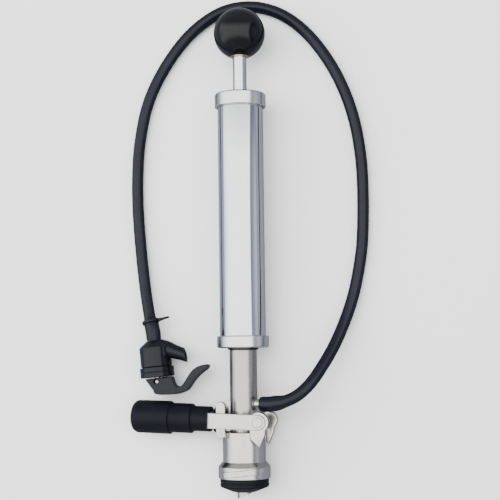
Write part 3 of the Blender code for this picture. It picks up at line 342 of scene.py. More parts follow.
def turned(name, outline, matrix, finish=None, sides=96):
    """A body turned about local Z; an outline with no end on the axis is closed to a ring."""
    bm = bmesh.new()
    rings = []
    for radius, height in outline:
        if radius == 0:
            rings.append([bm.verts.new((0, 0, height))])
            continue
        turn = [2 * math.pi * i / sides for i in range(sides)]
        rings.append([bm.verts.new((radius * math.cos(a), radius * math.sin(a), height)) for a in turn])
    for ring, following in zip(rings, rings[1:] + rings[:1]):
        for i in range(sides):
            j = (i + 1) % sides
            if len(ring) == 1 and len(following) == 1:
                break
            if len(ring) == 1:
                bm.faces.new((ring[0], following[j], following[i]))
            elif len(following) == 1:
                bm.faces.new((ring[i], ring[j], following[0]))
            else:
                bm.faces.new((ring[i], ring[j], following[j], following[i]))
    return piece(name, bm, matrix, finish)


def prism(name, outline, low, high, matrix, along="Y", finish=None):
    """A flat outline given depth: (X, Z) points along local Y, or (X, Y) points along local Z."""
    def point(a, b, depth):
        return (a, depth, b) if along == "Y" else (a, b, depth)

    bm = bmesh.new()
    near = [bm.verts.new(point(a, b, low)) for a, b in outline]
    far = [bm.verts.new(point(a, b, high)) for a, b in outline]
    bm.faces.new(near)
    bm.faces.new(list(reversed(far)))
    for i in range(len(outline)):
        j = (i + 1) % len(outline)
        bm.faces.new((near[j], near[i], far[i], far[j]))
    return piece(name, bm, matrix, finish)


def applied(thing):
    """Apply the piece's modifiers to its mesh."""
    bpy.context.view_layer.update()
    graph = bpy.context.evaluated_depsgraph_get()
    mesh = bpy.data.meshes.new_from_object(thing.evaluated_get(graph))
    thing.modifiers.clear()
    thing.data = mesh
    return thing


def bevelled(thing, width, angle=40, segments=3):
    modifier = thing.modifiers.new("bevel", "BEVEL")
    modifier.width = width
    modifier.segments = segments
    modifier.limit_method = "ANGLE"
    modifier.angle_limit = math.radians(angle)
    return applied(thing)


def joined(thing, operation, *tools):
    """Union, cut or intersect the piece with the tools, which are used up."""
    for tool in tools:
        modifier = thing.modifiers.new(tool.name, "BOOLEAN")
        modifier.operation = operation
        modifier.solver = "EXACT"
        modifier.object = tool
    applied(thing)
    for tool in tools:
        bpy.data.objects.remove(tool, do_unlink=True)
    smooth(thing)
    return thing


def rod(name, radius, low, high, matrix, sides=48):
    return turned(name, [(0, low), (radius, low), (radius, high), (0, high)], matrix, None, sides)


def along_y(matrix, x, z, side):
    """A frame at (x, 0, z) whose Z points along local Y, to the near (-1) or far (+1) side."""
    return matrix @ Matrix.Translation((x, 0, z)) @ Matrix.Rotation(-side * math.pi / 2, 4, "X")


def stands_for(thing, node, body):
    thing.name = f"{node}_shown"
    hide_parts(node)
    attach(thing, body)


def paint(thing, finish):
    thing.data.materials.clear()
    thing.data.materials.append(finish)


# ---- shared shader effects ----

def new_group(name, inputs, outputs):
    group = bpy.data.node_groups.new(name, "ShaderNodeTree")
    for label, kind, default in inputs:
        socket = group.interface.new_socket(label, in_out="INPUT", socket_type=kind)
        if default is not None:
            socket.default_value = default
    for label, kind in outputs:
        group.interface.new_socket(label, in_out="OUTPUT", socket_type=kind)
    start = group.nodes.new("NodeGroupInput")
    end = group.nodes.new("NodeGroupOutput")
    return group, start, end


def stretched_noise(group, start, scale, detail, factors):
    """Noise over the object's own coordinates, stretched by the three factors."""
    place = group.nodes.new("ShaderNodeTexCoord")
    mapping = group.nodes.new("ShaderNodeMapping")
    mapping.inputs["Scale"].default_value = factors
    noise = group.nodes.new("ShaderNodeTexNoise")
    noise.inputs["Detail"].default_value = detail
    group.links.new(place.outputs["Object"], mapping.inputs["Vector"])
    group.links.new(mapping.outputs["Vector"], noise.inputs["Vector"])
    group.links.new(start.outputs[scale], noise.inputs["Scale"])
    return noise


def spread(group, value, low, high):
    ramp = group.nodes.new("ShaderNodeMapRange")
    ramp.inputs["From Min"].default_value = low
    ramp.inputs["From Max"].default_value = high
    group.links.new(value, ramp.inputs["Value"])
    return ramp


def turning_marks_group():
    """Fine rings round the local Z axis, as left by turning or by polishing on a lathe."""
    group, start, end = new_group(
        "turning_marks",
        [("Scale", "NodeSocketFloat", 900.0), ("Roughness", "NodeSocketFloat", 0.2),
         ("Variation", "NodeSocketFloat", 0.1)],
        [("Roughness", "NodeSocketFloat"), ("Height", "NodeSocketFloat")])
    noise = stretched_noise(group, start, "Scale", 3.0, (0.015, 0.015, 1.0))
    ramp = spread(group, noise.outputs["Fac"], 0.3, 0.7)
    centred = group.nodes.new("ShaderNodeMath")
    centred.operation = "SUBTRACT"
    centred.inputs[1].default_value = 0.5
    scaled = group.nodes.new("ShaderNodeMath")
    scaled.operation = "MULTIPLY_ADD"
    group.links.new(ramp.outputs["Result"], centred.inputs[0])
    group.links.new(centred.outputs[0], scaled.inputs[0])
    group.links.new(start.outputs["Variation"], scaled.inputs[1])
    group.links.new(start.outputs["Roughness"], scaled.inputs[2])
    group.links.new(scaled.outputs[0], end.inputs["Roughness"])
    group.links.new(ramp.outputs["Result"], end.inputs["Height"])
    return group


def handling_group():
    """Faint smears and dulled patches from handling: a tinted colour and a mask."""
    group, start, end = new_group(
        "handling_smears",
        [("Clean", "NodeSocketColor", (0.8, 0.8, 0.8, 1)), ("Smeared", "NodeSocketColor", (0.6, 0.6, 0.6, 1)),
         ("Scale", "NodeSocketFloat", 40.0), ("Amount", "NodeSocketFloat", 0.5)],
        [("Color", "NodeSocketColor"), ("Mask", "NodeSocketFloat")])
    broad = stretched_noise(group, start, "Scale", 6.0, (1.0, 1.0, 0.6))
    broad.inputs["Distortion"].default_value = 0.8
    ramp = spread(group, broad.outputs["Fac"], 0.45, 0.75)
    amount = group.nodes.new("ShaderNodeMath")
    amount.operation = "MULTIPLY"
    group.links.new(ramp.outputs["Result"], amount.inputs[0])
    group.links.new(start.outputs["Amount"], amount.inputs[1])
    mix = group.nodes.new("ShaderNodeMix")
    mix.data_type = "RGBA"
    group.links.new(amount.outputs[0], mix.inputs["Factor"])
    group.links.new(start.outputs["Clean"], mix.inputs["A"])
    group.links.new(start.outputs["Smeared"], mix.inputs["B"])
    group.links.new(mix.outputs["Result"], end.inputs["Color"])
    group.links.new(amount.outputs[0], end.inputs["Mask"])
    return group


def grain_group():
    """A fine moulded or cast grain, with a slow swell under it."""
    group, start, end = new_group(
        "moulded_grain",
        [("Fine scale", "NodeSocketFloat", 2500.0), ("Swell scale", "NodeSocketFloat", 90.0),
         ("Swell share", "NodeSocketFloat", 0.4), ("Roughness", "NodeSocketFloat", 0.35),
         ("Variation", "NodeSocketFloat", 0.08)],
        [("Height", "NodeSocketFloat"), ("Roughness", "NodeSocketFloat")])
    fine = stretched_noise(group, start, "Fine scale", 2.0, (1.0, 1.0, 1.0))
    swell = stretched_noise(group, start, "Swell scale", 2.0, (1.0, 1.0, 1.0))
    mix = group.nodes.new("ShaderNodeMix")
    mix.data_type = "FLOAT"
    group.links.new(start.outputs["Swell share"], mix.inputs["Factor"])
    group.links.new(fine.outputs["Fac"], mix.inputs["A"])
    group.links.new(swell.outputs["Fac"], mix.inputs["B"])
    group.links.new(mix.outputs["Result"], end.inputs["Height"])
    scaled = group.nodes.new("ShaderNodeMath")
    scaled.operation = "MULTIPLY_ADD"
    group.links.new(mix.outputs["Result"], scaled.inputs[0])
    group.links.new(start.outputs["Variation"], scaled.inputs[1])
    group.links.new(start.outputs["Roughness"], scaled.inputs[2])
    group.links.new(scaled.outputs[0], end.inputs["Roughness"])
    return group


def shared_group(name):
    makers = {"turning_marks": turning_marks_group, "handling_smears": handling_group,
              "moulded_grain": grain_group}
    return bpy.data.node_groups.get(name) or makers[name]()


def place_group(material, name, **values):
    node = material.node_tree.nodes.new("ShaderNodeGroup")
    node.node_tree = shared_group(name)
    for label, value in values.items():
        node.inputs[label.replace("_", " ")].default_value = value
    return node


def bare_material(name, metallic):
    material = bpy.data.materials.new(name)
    material.use_nodes = True
    shader = material.node_tree.nodes["Principled BSDF"]
    shader.inputs["Metallic"].default_value = metallic
    return material, shader


def metal(name, clean, smeared, roughness, variation, mark_scale, bump, smear=0.5, smear_scale=40.0):
    """A plated or bare metal with turning marks and handling smears."""
    found = bpy.data.materials.get(name)
    if found:
        return found
    material, shader = bare_material(name, 1.0)
    links = material.node_tree.links
    marks = place_group(material, "turning_marks", Scale=mark_scale, Roughness=roughness, Variation=variation)
    smears = place_group(material, "handling_smears", Clean=(*clean, 1), Smeared=(*smeared, 1),
                         Scale=smear_scale, Amount=smear)
    links.new(smears.outputs["Color"], shader.inputs["Base Color"])
    dulled = material.node_tree.nodes.new("ShaderNodeMath")
    dulled.operation = "MULTIPLY_ADD"
    dulled.inputs[1].default_value = variation
    links.new(smears.outputs["Mask"], dulled.inputs[0])
    links.new(marks.outputs["Roughness"], dulled.inputs[2])
    links.new(dulled.outputs[0], shader.inputs["Roughness"])
    add_bump(material, shader, marks.outputs["Height"], bump)
    return material


def plastic(name, colour, rubbed, roughness, variation, fine_scale, bump, coat=0.0, swell=0.4, specular=0.12):
    """A moulded plastic or rubber with its grain and rubbed patches."""
    found = bpy.data.materials.get(name)
    if found:
        return found
    material, shader = bare_material(name, 0.0)
    links = material.node_tree.links
    shader.inputs["Specular IOR Level"].default_value = specular
    shader.inputs["Coat Weight"].default_value = coat
    shader.inputs["Coat Roughness"].default_value = 0.08
    grain = place_group(material, "moulded_grain", Fine_scale=fine_scale, Swell_share=swell,
                        Roughness=roughness, Variation=variation)
    smears = place_group(material, "handling_smears", Clean=(*colour, 1), Smeared=(*rubbed, 1),
                         Scale=55.0, Amount=0.7)
    links.new(smears.outputs["Color"], shader.inputs["Base Color"])
    links.new(grain.outputs["Roughness"], shader.inputs["Roughness"])
    add_bump(material, shader, grain.outputs["Height"], bump)
    return material


def add_bump(material, shader, height, distance):
    bump = material.node_tree.nodes.new("ShaderNodeBump")
    bump.inputs["Strength"].default_value = 0.6
    bump.inputs["Distance"].default_value = distance
    material.node_tree.links.new(height, bump.inputs["Height"])
    material.node_tree.links.new(bump.outputs["Normal"], shader.inputs["Normal"])


def shade(colour, factor):
    return tuple(min(1.0, c * factor) for c in colour)


def finishes():
    """Every finish of the pump, by its slot."""
    c = bpy.context.scene.keg_pump_colours
    rough = c.chrome_roughness
    return {
        "chrome": lambda: metal("mirror_chrome", c.chrome, shade(c.chrome, 0.93), rough, 0.03, 700,
                                0.000002, 0.4),
        "cap": lambda: metal("satin_chrome_cap", c.cap, shade(c.cap, 0.9), 0.22, 0.05, 2600, 0.000002, 0.3),
        "rod": lambda: metal("rod_chrome", c.chrome, shade(c.chrome, 0.85), 0.10, 0.06, 1200, 0.000006, 0.5),
        "nickel": lambda: metal("cast_nickel_plate", c.nickel, shade(c.nickel, 0.8), 0.20, 0.06, 420,
                                0.0000015, 0.5),
        "steel": lambda: metal("brushed_tube_steel", c.steel, shade(c.steel, 0.92), 0.28, 0.03, 5200,
                               0.0000006, 0.3),
        "zinc": lambda: metal("zinc_plated_steel", (0.55, 0.55, 0.56), (0.42, 0.42, 0.40), 0.34, 0.1, 1500,
                              0.00002, 0.7),
        "brass": lambda: metal("turned_brass", (0.72, 0.53, 0.26), (0.48, 0.33, 0.15), 0.28, 0.1, 1800,
                               0.00002),
        "knob": lambda: plastic("polished_knob", c.knob, shade(c.knob, 1.6), 0.07, 0.05, 600, 0.000003,
                                coat=0.3, swell=0.9),
        "grip": lambda: plastic("satin_grip", c.grip, shade(c.grip, 1.5), 0.40, 0.10, 3200, 0.00004),
        "faucet": lambda: plastic("faucet_plastic", c.faucet, shade(c.faucet, 1.6), 0.20, 0.08, 2600, 0.00001,
                                  coat=0.2, specular=0.15),
        "hose": lambda: plastic("beer_hose_wall", c.hose, shade(c.hose, 1.5), 0.22, 0.10, 1800, 0.00001,
                                swell=0.6, specular=0.25),
        "rubber": lambda: plastic("seal_rubber_wall", (0.0050, 0.0050, 0.0065), (0.009, 0.009, 0.011),
                                  0.45, 0.15, 2600, 0.00005),
        "nylon": lambda: plastic("turned_nylon", (0.85, 0.85, 0.82), (0.72, 0.71, 0.66), 0.40, 0.1, 2000,
                                 0.00003),
        "leather": lambda: plastic("greased_leather", (0.28, 0.15, 0.07), (0.17, 0.09, 0.04), 0.50, 0.2, 900,
                                   0.0002),
    }


def finish(name):
    return finishes()[name]()


# ---- settings ----

class KegPumpSizes(bpy.types.PropertyGroup):
    """Sizes of the rounded edges and small details."""
    edge_round: FloatProperty(name="Edge rounding", description="Radius of the turned pieces' rounded edges",
                              default=0.0005, min=0.0001, max=0.001, unit="LENGTH", precision=5)
    cast_round: FloatProperty(name="Casting rounding", description="Bevel along the castings' edges",
                              default=0.0006, min=0.0001, max=0.001, unit="LENGTH", precision=5)
    sides: IntProperty(name="Round sides", description="Flat steps round a turned piece",
                       default=96, min=24, max=192)
    hose_diameter: FloatProperty(name="Hose diameter", description="Outside diameter of the beer hose",
                                 default=2 * HOSE_RADIUS, min=0.008, max=0.014, unit="LENGTH", precision=4)
    faucet_swelling: FloatProperty(name="Hose swelling at the faucet",
                                   description="Hose radius over the faucet's barb, against its own radius",
                                   default=1.27, min=1.0, max=1.4, subtype="FACTOR")
    pump_swelling: FloatProperty(name="Hose swelling at the pump",
                                 description="Hose radius over the pump's barb, against its own radius",
                                 default=1.26, min=1.0, max=1.4, subtype="FACTOR")
    groove_depth: FloatProperty(name="Arm groove depth",
                                description="Depth of the line along the lever's arms",
                                default=0.0002, min=0.0, max=0.0005, unit="LENGTH", precision=5)


def colour_setting(name, description, default):
    return FloatVectorProperty(name=name, description=description, default=default, subtype="COLOR",
                               size=3, min=0.0, max=1.0)


class KegPumpColours(bpy.types.PropertyGroup):
    """Colours of the finishes."""
    chrome: colour_setting("Chrome", "Mirror plate on the barrel and rod", (0.83, 0.84, 0.86))
    cap: colour_setting("Caps", "Satin plate on the barrel's caps", (0.80, 0.80, 0.79))
    nickel: colour_setting("Nickel", "Plated castings of the coupler and lever", (0.64, 0.62, 0.58))
    steel: colour_setting("Steel", "Brushed tube below the barrel", (0.50, 0.465, 0.43))
    knob: colour_setting("Knob", "Polished knob", (0.0035, 0.0036, 0.0050))
    grip: colour_setting("Grip", "Moulded lever grip", (0.0042, 0.0045, 0.0075))
    faucet: colour_setting("Faucet", "Moulded faucet", (0.0040, 0.0045, 0.0070))
    hose: colour_setting("Hose", "Beer hose", (0.0042, 0.0046, 0.0095))
    chrome_roughness: FloatProperty(name="Chrome roughness", description="Roughness of the mirror plate",
                                    default=0.045, min=0.0, max=0.3, subtype="FACTOR")


class KegPumpStage(bpy.types.PropertyGroup):
    """Floor, light and camera."""
    floor: colour_setting("Floor", "Colour of the floor", (0.93, 0.93, 0.93))
    key_power: FloatProperty(name="Overhead light", description="Power of the large soft light overhead",
                             default=34.0, min=0.0, max=500.0, unit="POWER")
    side_power: FloatProperty(name="Side light", description="Power of the soft light at the left",
                              default=16.0, min=0.0, max=500.0, unit="POWER")
    sky: FloatProperty(name="Room light", description="Brightness of the surroundings", default=2.8,
                       min=0.0, max=5.0)
    focal_length: FloatProperty(name="Focal length", description="Camera's focal length in millimetres",
                                default=82.08, min=20.0, max=300.0)


# ---- stage ----

class KEGPUMP_OT_stage(bpy.types.Operator):
    """Make the floor, the soft light, the surroundings and the camera"""
    bl_idname = "keg_pump.stage"
    bl_label = "Stage"

    def execute(self, context):
        self.floor(context)
        self.surroundings(context)
        self.lights(context)
        self.camera(context)
        return {"FINISHED"}

    def floor(self, context):
        bm = bmesh.new()
        bmesh.ops.create_grid(bm, x_segments=12, y_segments=12, size=6.0)
        ground = piece("floor", bm, Matrix.Translation((0, 0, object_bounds()[0].z - 0.0004)))
        material, shader = bare_material("floor_with_painted_dark_reflection", 0.0)
        nodes, links = material.node_tree.nodes, material.node_tree.links
        # the floor is pale to the camera and to diffuse light but shows dark grey to glossy rays: a painted
        # dark reflection that puts shade on the plated and polished pieces where they face the floor
        path = nodes.new("ShaderNodeLightPath")
        mix = nodes.new("ShaderNodeMix")
        mix.data_type = "RGBA"
        mix.inputs["A"].default_value = (*context.scene.keg_pump_stage.floor, 1)
        mix.inputs["B"].default_value = (0.16, 0.17, 0.20, 1)
        links.new(path.outputs["Is Glossy Ray"], mix.inputs["Factor"])
        links.new(mix.outputs["Result"], shader.inputs["Base Color"])
        shader.inputs["Roughness"].default_value = 0.85
        shader.inputs["Specular IOR Level"].default_value = 0.1
        paint(ground, material)
        ground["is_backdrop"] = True

    def surroundings(self, context):
        """A room that is bright overhead, cool grey at the left, darker at the right and dim at both ends."""
        world = bpy.data.worlds.new("soft_room")
        context.scene.world = world
        world.use_nodes = True
        nodes, links = world.node_tree.nodes, world.node_tree.links
        background = nodes["Background"]
        background.inputs["Strength"].default_value = context.scene.keg_pump_stage.sky
        place = nodes.new("ShaderNodeTexCoord")
        parts = nodes.new("ShaderNodeSeparateXYZ")
        links.new(place.outputs["Generated"], parts.inputs["Vector"])
        ramp = nodes.new("ShaderNodeValToRGB")
        stops = (
            (0.000, (0.42, 0.48, 0.58)), (0.020, (0.72, 0.78, 0.88)), (0.070, (1.00, 1.00, 1.00)),
            (0.566, (1.00, 1.00, 1.00)), (0.574, (0.62, 0.63, 0.66)), (0.582, (1.00, 1.00, 1.00)),
            (0.885, (0.96, 0.97, 1.00)), (0.905, (0.09, 0.10, 0.12)), (0.960, (0.14, 0.15, 0.18)),
            (1.000, (0.26, 0.28, 0.33)),
        )
        elements = ramp.color_ramp.elements
        while len(elements) < len(stops):
            elements.new(0.5)
        for element, (position, colour) in zip(elements, stops):
            element.position = position
            element.color = (*colour, 1)
        half = nodes.new("ShaderNodeMath")
        half.operation = "MULTIPLY_ADD"
        half.inputs[1].default_value = 0.5
        half.inputs[2].default_value = 0.5
        links.new(parts.outputs["X"], half.inputs[0])
        links.new(half.outputs[0], ramp.inputs["Fac"])
        reach = nodes.new("ShaderNodeMath")
        reach.operation = "ABSOLUTE"
        fade = nodes.new("ShaderNodeMapRange")
        fade.inputs["From Min"].default_value = 0.30
        fade.inputs["From Max"].default_value = 0.62
        fade.inputs["To Min"].default_value = 1.0
        fade.inputs["To Max"].default_value = 0.22
        dimmed = nodes.new("ShaderNodeMix")
        dimmed.data_type = "RGBA"
        dimmed.blend_type = "MULTIPLY"
        dimmed.inputs["Factor"].default_value = 1.0
        links.new(parts.outputs["Y"], reach.inputs[0])
        links.new(reach.outputs[0], fade.inputs["Value"])
        links.new(ramp.outputs["Color"], dimmed.inputs["A"])
        links.new(fade.outputs["Result"], dimmed.inputs["B"])
        links.new(dimmed.outputs["Result"], background.inputs["Color"])

    def lights(self, context):
        stage = context.scene.keg_pump_stage
        for name, place, aim, size, power in (
                ("overhead_light", (-0.30, 0.35, 1.9), (0, 0, 0), (1.5, 1.5), stage.key_power),
                ("left_light", (-1.5, 0.2, 1.1), (0, 0, 0), (0.9, 1.6), stage.side_power)):
            lamp = bpy.data.lights.new(name, "AREA")
            lamp.shape = "RECTANGLE"
            lamp.size, lamp.size_y = size
            lamp.energy = power
            holder = bpy.data.objects.new(name, lamp)
            context.scene.collection.objects.link(holder)
            # the room alone draws the bands on the plated barrel
            holder.visible_glossy = False
            holder.location = place
            holder.rotation_euler = (Vector(aim) - Vector(place)).to_track_quat("-Z", "Y").to_euler()

    def camera(self, context):
        """Nearly overhead, tilted a little lengthwise and sideways."""
        pitch, lean, turn, far = math.radians(5.8), math.radians(8.5), math.radians(0.72), 1.060
        back = Vector((math.cos(pitch) * math.sin(lean), -math.sin(pitch), math.cos(pitch) * math.cos(lean)))
        axis = Vector((0, math.cos(math.radians(1.3)), math.sin(math.radians(1.3))))
        middle = Vector((0, 0, 0.0254)) + 0.2091 * axis
        right = axis.cross(back).normalized()
        above = back.cross(right)
        right, above = (math.cos(turn) * right - math.sin(turn) * above,
                        math.cos(turn) * above + math.sin(turn) * right)
        lens = bpy.data.cameras.new("camera")
        lens.lens = context.scene.keg_pump_stage.focal_length
        lens.sensor_width = 36.0
        holder = bpy.data.objects.new("camera", lens)
        context.scene.collection.objects.link(holder)
        shift = bench_shift()
        shift.z = 0
        holder.matrix_world = axes_matrix(middle + 0.00753 * right + far * back + shift, right, above, back)
        context.scene.camera = holder


# ---- hose ----

def even_route(points, spacing):
    """Evenly spaced points on a smooth curve through the given ones (centripetal Catmull-Rom)."""
    ends = [2 * points[0] - points[1]] + points + [2 * points[-1] - points[-2]]
    fine = []
    for a, b, c, d in zip(ends, ends[1:], ends[2:], ends[3:]):
        ta, tb = 0.0, (b - a).length ** 0.5
        tc = tb + (c - b).length ** 0.5
        td = tc + (d - c).length ** 0.5
        for i in range(24):
            t = tb + (tc - tb) * i / 24
            ab = a.lerp(b, (t - ta) / (tb - ta))
            bc = b.lerp(c, (t - tb) / (tc - tb))
            cd = c.lerp(d, (t - tc) / (td - tc))
            abc = ab.lerp(bc, (t - ta) / (tc - ta))
            bcd = bc.lerp(cd, (t - tb) / (td - tb))
            fine.append(abc.lerp(bcd, (t - tb) / (tc - tb)))
    fine.append(points[-1])
    reach = [0.0]
    for a, b in zip(fine, fine[1:]):
        reach.append(reach[-1] + (b - a).length)
    count = round(reach[-1] / spacing)
    even = []
    k = 0
    for i in range(count + 1):
        wanted = reach[-1] * i / count
        while k < len(reach) - 2 and reach[k + 1] < wanted:
            k += 1
        share = (wanted - reach[k]) / (reach[k + 1] - reach[k])
        even.append(fine[k].lerp(fine[k + 1], share))
    return even, reach[-1]


def hose_route():
    """The hose's centreline from the pump's barb round to the faucet, in the object's frame."""
    pump, faucet, shift = pump_matrix(), faucet_matrix(), bench_shift()
    barb_way = Vector((math.cos(BARB_TURN), math.sin(BARB_TURN), 0))
    barb_end = TUBE_RADIUS + GAP + BARB_FLANGE_LENGTH
    exit_point = pump @ (barb_way * (barb_end + GAP) + Vector((0, 0, BARB_HEIGHT)))
    barb_way = pump.to_3x3() @ barb_way
    end_point = faucet @ Vector((0, 0, GAP))
    end_way = faucet.to_3x3() @ Vector((0, 0, 1))
    route = [exit_point, exit_point + barb_way * EXIT_STRAIGHT]
    route += [Vector(p) + shift for p in HOSE_ROUTE]
    route += [end_point + end_way * EXIT_STRAIGHT, end_point]
    return even_route(route, 0.0030)


def swelling(distance, reach, most):
    """How far the hose is spread by a barb that reaches this deep into it."""
    t = min(1.0, max(0.0, (reach - distance) / (0.45 * reach)))
    return 1 + (most - 1) * t * t * (3 - 2 * t)


class KEGPUMP_OT_hose(bpy.types.Operator):
    """Make the beer hose and its clamp"""
    bl_idname = "keg_pump.hose"
    bl_label = "Hose and clamp"

    def execute(self, context):
        sizes = context.scene.keg_pump_sizes
        points, length = hose_route()
        hose = self.tube(points, length, sizes)
        stands_for(hose, "beer_hose", "pump")
        clamp = self.clamp(points)
        stands_for(clamp, "hose_clamp", "pump")
        context.scene["keg_hose_length"] = length
        return {"FINISHED"}

    def tube(self, points, length, sizes):
        sides = 32
        radius = sizes.hose_diameter / 2
        bm = bmesh.new()
        rings = []
        way = (points[1] - points[0]).normalized()
        side = way.orthogonal().normalized()
        step = length / (len(points) - 1)
        for i, point in enumerate(points):
            before, after = points[max(i - 1, 0)], points[min(i + 1, len(points) - 1)]
            turned_way = (after - before).normalized()
            side = way.rotation_difference(turned_way) @ side
            way = turned_way
            up = way.cross(side)
            swell = max(swelling(i * step, 0.026, sizes.pump_swelling),
                        swelling(length - i * step, 0.024, sizes.faucet_swelling))
            lips = {0: 0.93, 1: 1.0}
            trim = lips.get(min(i, len(points) - 1 - i), 1.0)
            reach = radius * swell * trim
            rings.append([bm.verts.new(point + reach * (math.cos(2 * math.pi * k / sides) * side
                                                        + math.sin(2 * math.pi * k / sides) * up))
                          for k in range(sides)])
        for ring, following in zip(rings, rings[1:]):
            for k in range(sides):
                j = (k + 1) % sides
                bm.faces.new((ring[k], ring[j], following[j], following[k]))
        bm.faces.new(list(reversed(rings[0])))
        bm.faces.new(rings[-1])
        return piece("beer_hose_shown", bm, Matrix.Identity(4), finish("hose"))

    def clamp(self, points):
        travelled = 0.0
        k = len(points) - 1
        while travelled < CLAMP_DISTANCE:
            travelled += (points[k] - points[k - 1]).length
            k -= 1
        way = (points[k] - points[k + 1]).normalized()
        side = (Vector((1, 0, 0)) - way * way.x).normalized()
        place = axes_matrix(points[k], side, way.cross(side), way)
        half = CLAMP_HEIGHT / 2
        band = softened([(CLAMP_RADIUS - CLAMP_WALL - 0.0004, -half), (CLAMP_RADIUS, -half),
                         (CLAMP_RADIUS, half), (CLAMP_RADIUS - CLAMP_WALL - 0.0004, half)], 0.0004, True, 3)
        clamp = turned("hose_clamp_shown", band, place, None, 64)
        end = CLAMP_RADIUS + CLAMP_TAIL
        root, top, edge = CLAMP_RADIUS - 0.0006, CLAMP_RADIUS + 0.0022, half - 0.0002
        tail = prism("clamp_tail", [(root, -half + 0.0001), (end - 0.0006, -0.0007), (end, -0.0003),
                                    (end, 0.0003), (end - 0.0006, 0.0007), (root, half - 0.0001)],
                     -0.0016, 0.0016, place)
        latch = prism("clamp_latch", [(root, -edge), (top, -edge), (top, edge), (root, edge)],
                      -0.0024, 0.0024, place)
        joined(clamp, "UNION", bevelled(tail, 0.0003), bevelled(latch, 0.0004))
        paint(clamp, finish("faucet"))
        return clamp


# ---- coupler ----

class KEGPUMP_OT_coupler(bpy.types.Operator):
    """Make the coupler body, its seals, guide bush and pivot screws"""
    bl_idname = "keg_pump.coupler"
    bl_label = "Coupler"

    def execute(self, context):
        sizes = context.scene.keg_pump_sizes
        pump = pump_matrix()
        stands_for(self.body(pump, sizes), "coupler_body", "coupler")
        self.seal(pump, sizes)
        self.bush(pump, sizes)
        self.screws(pump)
        return {"FINISHED"}

    def lug(self, start, pump, width):
        bm = bmesh.new()
        steps = 40
        inner = BASE_RADIUS - 0.0020
        sections = []
        for i in range(steps + 1):
            t = i / steps
            angle = start + LUG_SPAN * t
            low = LUG_START_HEIGHT + LUG_RISE * t
            # the lug runs out into the wall at both of its ends
            out = LUG_RADIUS - 0.0013 * max(0.0, 1 - min(t, 1 - t) / 0.05) ** 2
            outline = softened([(inner, low), (out, low), (out, low + LUG_HEIGHT), (inner, low + LUG_HEIGHT)],
                               width, True, 3)
            sections.append([bm.verts.new((r * math.cos(angle), r * math.sin(angle), z)) for r, z in outline])
        for section, following in zip(sections, sections[1:]):
            for i in range(len(section)):
                j = (i + 1) % len(section)
                bm.faces.new((section[i], section[j], following[j], following[i]))
        bm.faces.new(sections[0])
        bm.faces.new(sections[-1])
        return piece("lug", bm, pump)

    def body(self, pump, sizes):
        outline = softened([
            (0, 0), (BASE_RADIUS, 0), (BASE_RADIUS, BASE_HEIGHT),
            (BASE_RADIUS - 0.0006, BASE_HEIGHT + 0.0008), (NECK_RADIUS, FLARE_TOP),
            (NECK_RADIUS, NECK_TOP), (0, NECK_TOP)], 0.0010, False, 5)
        body = turned("coupler_body_shown", outline, pump, None, sizes.sides)
        tools = [self.lug(start, pump, sizes.cast_round) for start in LUG_ANGLES]
        boss_drop = math.degrees(math.acos(EAR_FOOT_SPREAD / EAR_BOSS_RADIUS))
        pivot_ear = [(EAR_FOOT_START, NECK_TOP - 0.0060), (NECK_RADIUS - 0.0005, NECK_TOP - 0.0132),
                     (PIVOT_X + EAR_FOOT_SPREAD, NECK_TOP - 0.0012)]
        pivot_ear += arc((PIVOT_X, PIVOT_Z), EAR_BOSS_RADIUS, -boss_drop, 180, 40)
        tip = GUARD_WIDTH / 2
        guard_ear = [(GUARD_EDGE + GUARD_WIDTH, NECK_TOP - 0.0042)]
        guard_ear += arc((GUARD_EDGE + tip, GUARD_TOP - tip), tip, 0, 180, 24)
        guard_ear += [(GUARD_EDGE, NECK_TOP + 0.0020), (-NECK_RADIUS + 0.0005, NECK_TOP - 0.0060)]
        for outline in (pivot_ear, guard_ear):
            for _, side in SIDES:
                low, high = sorted((side * (CAVITY_RADIUS - 0.0010), side * (CAVITY_RADIUS + EAR_THICKNESS)))
                tools.append(bevelled(prism("ear", outline, low, high, pump), sizes.cast_round, 30))
        joined(body, "UNION", *tools)
        bore = turned("bore", softened([
            (0, -0.01), (THROAT_RADIUS, -0.01), (THROAT_RADIUS, FLOOR_THICKNESS),
            (CAVITY_RADIUS, FLOOR_THICKNESS), (CAVITY_RADIUS, NECK_TOP - 0.0006),
            (CAVITY_RADIUS, 0.09), (0, 0.09)], 0.0004, False, 2), pump, None, sizes.sides)
        hole = rod("screw_hole", PIVOT_THREAD_RADIUS + GAP, -0.03, 0.03, along_y(pump, PIVOT_X, PIVOT_Z, 1))
        joined(body, "DIFFERENCE", bore, hole)
        paint(body, finish("nickel"))
        return body

    def seal(self, pump, sizes):
        bore = STEM_RADIUS + GAP
        neck = THROAT_RADIUS - GAP
        rib = SEAL_WALL_RADIUS - 0.0004
        outline = softened([
            (bore, -SEAL_HEIGHT), (SEAL_CONE_RADIUS, -SEAL_HEIGHT),
            (SEAL_WALL_RADIUS - 0.0006, -SEAL_WALL_HEIGHT),
            (SEAL_WALL_RADIUS, -SEAL_WALL_HEIGHT + 0.0010), (SEAL_WALL_RADIUS, -0.0046), (rib, -0.0042),
            (rib, -0.0036), (SEAL_WALL_RADIUS, -0.0032), (SEAL_WALL_RADIUS, -GAP), (neck, -GAP),
            (neck, FLOOR_THICKNESS - GAP), (bore, FLOOR_THICKNESS - GAP)], 0.0007, True, 4)
        seal = turned("body_seal_shown", outline, pump, finish("rubber"), sizes.sides)
        stands_for(seal, "body_seal", "coupler")

    def bush(self, pump, sizes):
        low, high = 0.0340, 0.0400
        bush = turned("guide_bush_shown", softened([
            (TUBE_RADIUS + GAP, low), (CAVITY_RADIUS - GAP, low), (CAVITY_RADIUS - GAP, high),
            (TUBE_RADIUS + GAP, high)], 0.0005, True), pump, finish("nylon"), sizes.sides)
        stands_for(bush, "guide_bush", "coupler")

